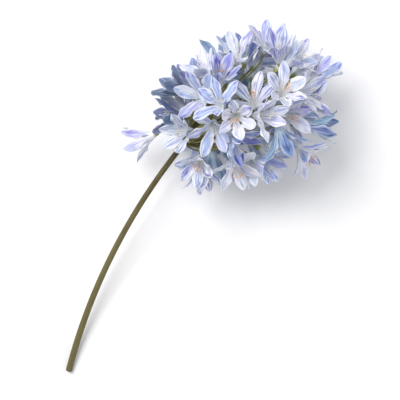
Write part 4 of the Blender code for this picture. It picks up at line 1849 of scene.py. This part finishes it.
@dataclass(frozen=True)
class FineBloom:
    """A bloom as it looks close by, with its own share of the head's colours."""

    corolla: Corolla = Corolla()
    stamens: Stamens = Stamens()
    first_seed: int = 1000
    petal_chance: float = 0.3
    least_blue: float = 0.45
    ripe_share: float = 0.24
    # Painted shade: blooms whose mouths lie within this reach of the place on the head's left side get
    # darker, in full up to the soft band's inner edge.
    painted_shade_place: Place = (-0.040, 0.105, 0.085)
    painted_shade_reach: float = 0.05
    painted_shade_soft: float = 0.025

    def make(self, index: int, bloom: Bloom, finishes: BloomFinishes) -> bpy.types.Object:
        """Make a bloom's piece, which stands for its plain solid.

        Args:
            index: The bloom's number, from 0.
            bloom: The bloom.
            finishes: The materials of all blooms.

        Returns:
            The piece.
        """
        rng = random.Random(self.first_seed + index)
        # The bloom's painted shade, from how near its mouth lies to the shaded place.
        mouth = bloom.base + SIZES.mouth_reach() * bloom.facing
        far = np.linalg.norm(mouth - self.painted_shade_place)
        mesher = Mesher(painted_shade=min(max((self.painted_shade_reach - far) / self.painted_shade_soft, 0.0), 1.0))
        own = rng.random()
        if bloom.tone is Tone.BLUE:
            own = self.least_blue + (1 - self.least_blue) * own
        drifts = [rng.uniform(-self.petal_chance, self.petal_chance) for _ in bloom.petals]
        self.corolla.add(mesher, bloom, [min(max(own + drift, 0.0), 1.0) for drift in drifts])
        self.stamens.add(mesher, bloom, rng)
        threads = finishes.ripe if bloom.ripe or rng.random() < self.ripe_share else finishes.young
        number = f"{index + 1:02d}"
        materials = [finishes.petals[bloom.tone], *threads, finishes.style]
        return mesher.build(f"bloom_{number}", f"floret_{number}", materials)


@dataclass(frozen=True)
class FineStalks:
    """The swollen end of the stem and all the smooth thin stalks."""

    stalk: Stalk = Stalk()
    sides: int = 8
    run_points: int = 18
    cup_points: int = 6
    cup_power: float = 1.6
    waist: float = 0.82
    ridges: int = 3
    ridge_height: float = 0.05
    knob_sides: int = 40
    knob_rings: int = 14
    knob_span: Range = (math.radians(-38), math.radians(84))
    neck_height: float = 0.93
    neck_width: float = 1.04
    knob_bumps: int = 9
    bump_height: float = 0.035
    knob_chance: float = 0.9

    def smooth_route(self, bloom: Bloom, neck: np.ndarray) -> tuple[np.ndarray, np.ndarray]:
        """A stalk's smooth run and its radii.

        Args:
            bloom: The bloom that it carries.
            neck: The middle of the knob.

        Returns:
            Points along the stalk, and the radius at each.
        """
        root, middle, cup, end = self.stalk.route(bloom, neck)
        through = unit(unit(middle - root) + unit(cup - middle))
        points = []
        for start, stop, leaving, arriving in (
            (root, middle, self.stalk.leave(bloom, neck), through),
            (middle, cup, through, bloom.facing),
        ):
            span = np.linalg.norm(stop - start)
            for u in np.linspace(0, 1, self.run_points // 2, endpoint=False):
                a, b = 2 * u**3 - 3 * u**2 + 1, u**3 - 2 * u**2 + u
                c, d = -2 * u**3 + 3 * u**2, u**3 - u**2
                points.append(a * start + b * span * leaving + c * stop + d * span * arriving)
        ends = np.linspace(-1, 1, len(points))
        radii = self.stalk.radius * (self.waist + (1 - self.waist) * ends**2)
        share = np.linspace(0, 1, self.cup_points)
        points += [cup + (end - cup) * u for u in share]
        cup_radii = self.stalk.radius + (self.stalk.tip_radius - self.stalk.radius) * share**self.cup_power
        return np.array(points), np.concatenate((radii, cup_radii))

    def add_knob(self, mesher: Mesher, stem: Stem) -> None:
        """Add the swollen end, a turned form with low bumps between the stalks.

        Args:
            mesher: Where it is gathered.
            stem: The stem that it ends.
        """
        top, below = stem.points(stem.plain_points)[:2]
        radius, neck_radius = self.stalk.knob_radius, self.stalk.knob_neck_radius
        angles = np.linspace(*self.knob_span, self.knob_rings)
        heights = np.concatenate(((-radius, -radius * self.neck_height), radius * np.sin(angles)))
        widths = np.concatenate(((neck_radius, neck_radius * self.neck_width), radius * np.cos(angles)))
        turns = np.arange(self.knob_sides) * math.tau / self.knob_sides
        swing = np.sin(self.knob_bumps * turns)[None, :] * np.cos(heights / radius * 2)[:, None]
        radii = widths[:, None] * (1 + self.bump_height * swing)
        points = stem.neck() + np.outer(heights, unit(top - below))
        mesher.add_tube(sweep(points, radii, self.knob_sides), 0, self.knob_chance)

    def make(
        self, blooms: list[Bloom], stem: Stem, shift: np.ndarray, finish: bpy.types.Material
    ) -> bpy.types.Object:
        """Make the piece, which stands for the plain solid of the stalks.

        Args:
            blooms: The blooms, as grown.
            stem: The stem.
            shift: How far the frame lies from the head as grown.
            finish: The stalks' material.

        Returns:
            The piece.
        """
        mesher = Mesher(shift=shift)
        self.add_knob(mesher, stem)
        turns = np.arange(self.sides) * math.tau / self.sides
        ridge = 1 + self.ridge_height * np.cos(self.ridges * turns)
        for index, bloom in enumerate(blooms):
            points, radii = self.smooth_route(bloom, stem.neck())
            rings = sweep(points, radii[:, None] * ridge, self.sides)
            mesher.add_tube(rings, 0, random.Random(index).random())
        return mesher.build("stalks", "umbel_stalks", [finish])


@dataclass(frozen=True)
class FineStem:
    """The bare stem with its low ribs, and the pith of its cut end."""

    sides: int = 40
    rings: int = 150
    rib: float = 0.035
    ribs: int = 5
    rib_drift: float = 2.2
    dent: float = 0.012
    dent_radians: float = 31.0
    pith_share: float = 0.9
    pith_height: float = 0.00012

    def make(
        self, stem: Stem, stalk: Stalk, shift: np.ndarray, finishes: list[bpy.types.Material]
    ) -> bpy.types.Object:
        """Make the piece, which stands for the plain solid of the stem.

        Args:
            stem: The stem.
            stalk: The sizes of its swollen end.
            shift: How far the frame lies from the head as grown.
            finishes: Materials of the skin and of the pith.

        Returns:
            The piece.
        """
        points = stem.points(self.rings)
        start = stalk.knob_radius + stalk.gap
        keep = np.linalg.norm(points - points[0], axis=1) > start
        points = np.concatenate(([stem.neck() + start * unit(points[1] - points[0])], points[keep]))
        count = len(points)
        radii = stem.radii(count)[:, None]
        turns = np.arange(self.sides) * math.tau / self.sides
        drift = np.linspace(0, self.rib_drift, count)[:, None]
        ribs = 1 - self.rib / 2 + self.rib / 2 * np.cos(self.ribs * turns[None, :] + drift)
        dents = 1 + self.dent * np.minimum(np.sin(np.linspace(0, self.dent_radians, count)), 0)[:, None]
        rings = sweep(points, radii * ribs * dents, self.sides)
        mesher = Mesher(shift=shift)
        mesher.add_tube(rings, 0)
        inner = self.pith_share * rings[-1] + (1 - self.pith_share) * rings[-1].mean(axis=0)
        outward = unit(points[-1] - points[-2])
        mesher.add_tube(np.array((inner, inner + self.pith_height * outward)), 1)
        return mesher.build("stem", "scape", finishes)


@dataclass(frozen=True)
class SoftLight:
    """A soft square light: where it hangs, its side in metres, its power in watts and its colour."""

    name: str
    place: Place
    size: float
    power: float
    colour: Colour

    def hang(self, aim: Place) -> None:
        """Hang the light.

        Args:
            aim: The place that it points at.
        """
        light = bpy.data.lights.new(self.name, "AREA")
        light.shape = "SQUARE"
        light.size = self.size
        light.energy = self.power
        light.color = self.colour
        lamp = bpy.data.objects.new(self.name, light)
        lamp.location = self.place
        lamp.rotation_euler = (Vector(aim) - Vector(self.place)).to_track_quat("-Z", "Y").to_euler()
        bpy.context.scene.collection.objects.link(lamp)


@dataclass(frozen=True)
class Studio:
    """The plain pale floor, the soft lights and the camera straight above."""

    floor_size: float = 30.0
    floor_colour: Colour = (0.88, 0.88, 0.89)
    floor_roughness: float = 0.9
    sky_colour: Colour = (0.97, 0.98, 1.0)
    sky_strength: float = 0.50
    lights: tuple[SoftLight, ...] = (
        SoftLight("key", (-0.55, 0.55, 1.45), 0.85, 23.5, (1.0, 0.985, 0.96)),
        SoftLight("fill", (1.2, -0.5, 1.0), 1.2, 6.0, (0.95, 0.97, 1.0)),
    )
    aim: Place = (0.0, 0.0, 0.06)
    camera_distance: float = 1.30
    lens: float = 112.0

    def make_floor(self) -> None:
        """Lay the floor."""
        half = self.floor_size / 2
        corners = [(-half, -half, 0), (half, -half, 0), (half, half, 0), (-half, half, 0)]
        mesh = bpy.data.meshes.new("floor")
        mesh.from_pydata(corners, [], [(0, 1, 2, 3)])
        graph, material, shader = Finish("floor").start()
        graph.fill(shader, {"Base Color": self.floor_colour, "Roughness": self.floor_roughness})
        mesh.materials.append(material)
        floor = bpy.data.objects.new("floor", mesh)
        bpy.context.scene.collection.objects.link(floor)

    def make(self) -> None:
        """Set up the floor, world, lights and camera."""
        scene = bpy.context.scene
        self.make_floor()
        scene.world = bpy.data.worlds.new("studio")
        scene.world.use_nodes = True
        background = scene.world.node_tree.nodes["Background"]
        Graph(scene.world.node_tree).fill(
            background, {"Color": self.sky_colour, "Strength": self.sky_strength}
        )
        for light in self.lights:
            light.hang(self.aim)
        camera = bpy.data.cameras.new("camera")
        camera.lens = self.lens
        holder = bpy.data.objects.new("camera", camera)
        holder.location = Vector(self.aim) + Vector((0.0, 0.0, self.camera_distance))
        scene.collection.objects.link(holder)
        scene.camera = holder
        scene.view_settings.view_transform = "Standard"


def make_bloom_finishes() -> BloomFinishes:
    """The materials of all blooms.

    Returns:
        Petals by tone, filament and anther by age, and the style.
    """
    markings = PetalMarkings().make()
    grain = FineGrain().make()
    tones = {
        Tone.PALE: PetalFinish(
            "petal_pale",
            pale=(0.90, 0.91, 0.95),
            body=(0.44, 0.50, 0.79),
            deep=(0.22, 0.24, 0.58),
            vein=(0.29, 0.34, 0.66),
            vivid=(0.14, 0.12, 0.50),
            patch_share=0.75,
        ),
        Tone.PERIWINKLE: PetalFinish(
            "petal_periwinkle",
            pale=(0.84, 0.87, 0.94),
            body=(0.29, 0.345, 0.66),
            deep=(0.11, 0.11, 0.37),
            vein=(0.20, 0.235, 0.54),
            vivid=(0.08, 0.065, 0.36),
            patch_share=0.85,
        ),
        Tone.BLUE: PetalFinish(
            "petal_blue",
            pale=(0.46, 0.56, 0.74),
            body=(0.14, 0.215, 0.38),
            deep=(0.05, 0.08, 0.19),
            vein=(0.075, 0.125, 0.27),
            vivid=(0.05, 0.11, 0.26),
            patch_share=0.9,
            throat=(0.44, 0.55, 0.62),
        ),
    }
    return BloomFinishes(
        petals={tone: finish.make(markings, grain) for tone, finish in tones.items()},
        ripe=(
            ThreadFinish("ripe_filament", (0.80, 0.83, 0.80), (0.86, 0.58, 0.34)).make(grain),
            PollenFinish("ripe_anther").make(grain),
        ),
        young=(
            ThreadFinish("young_filament", (0.80, 0.84, 0.82), (0.80, 0.81, 0.88)).make(grain),
            PollenFinish("young_anther", (0.70, 0.64, 0.50), (0.84, 0.80, 0.70)).make(grain),
        ),
        style=ThreadFinish("style", (0.80, 0.84, 0.86), (0.78, 0.78, 0.92)).make(grain),
    )


def make_skins() -> tuple[bpy.types.Material, bpy.types.Material]:
    """Make the green and brown skins.

    Returns:
        The materials of the stalks and of the stem.
    """
    fibres = SkinFibres().make()
    stalk = SkinFinish(
        "stalk_skin",
        start_colour=(0.19, 0.185, 0.055),
        end_colour=(0.31, 0.33, 0.12),
        fibre_colour=(0.40, 0.37, 0.17),
        speck_colour=(0.10, 0.07, 0.03),
        shade_colour=(0.11, 0.095, 0.035),
        fibre_count=10.0,
        fibre_length=6.0,
        roughness=(0.37, 0.57),
        bump_height=0.00010,
    )
    stem = SkinFinish(
        "stem_skin",
        start_colour=(0.028, 0.022, 0.009),
        end_colour=(0.135, 0.116, 0.043),
        fibre_colour=(0.17, 0.135, 0.062),
        speck_colour=(0.035, 0.026, 0.012),
        shade_colour=(0.10, 0.10, 0.04),
        fibre_count=30.0,
        fibre_length=26.0,
        roughness=(0.42, 0.62),
        bump_height=0.00030,
        end_at=0.45,
    )
    return stalk.make(fibres), stem.make(fibres)


def main() -> None:
    """Grow the head, dress it, and set up the studio."""
    logging.basicConfig(level=logging.INFO, format="%(name)s: %(message)s")
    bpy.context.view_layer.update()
    head = Head()
    blooms = head.lay_out()
    head.make_room(blooms)
    shift = head.settle_on_frame(blooms)
    stalk_skin, stem_skin = make_skins()
    pieces = [
        FineStem().make(head.stem, head.stalk, shift, [stem_skin, PithFinish("pith").make()]),
        FineStalks().make(blooms, head.stem, shift, stalk_skin),
    ]
    finishes = make_bloom_finishes()
    fine = FineBloom()
    for index, bloom in enumerate(blooms):
        bloom.base = bloom.base + shift
        pieces.append(fine.make(index, bloom, finishes))
    for piece in pieces:
        LOG.info("%s made, %d faces", piece.name, len(piece.data.polygons))
    Studio().make()
    LOG.info("studio set")


if __name__ == "__main__":
    main()
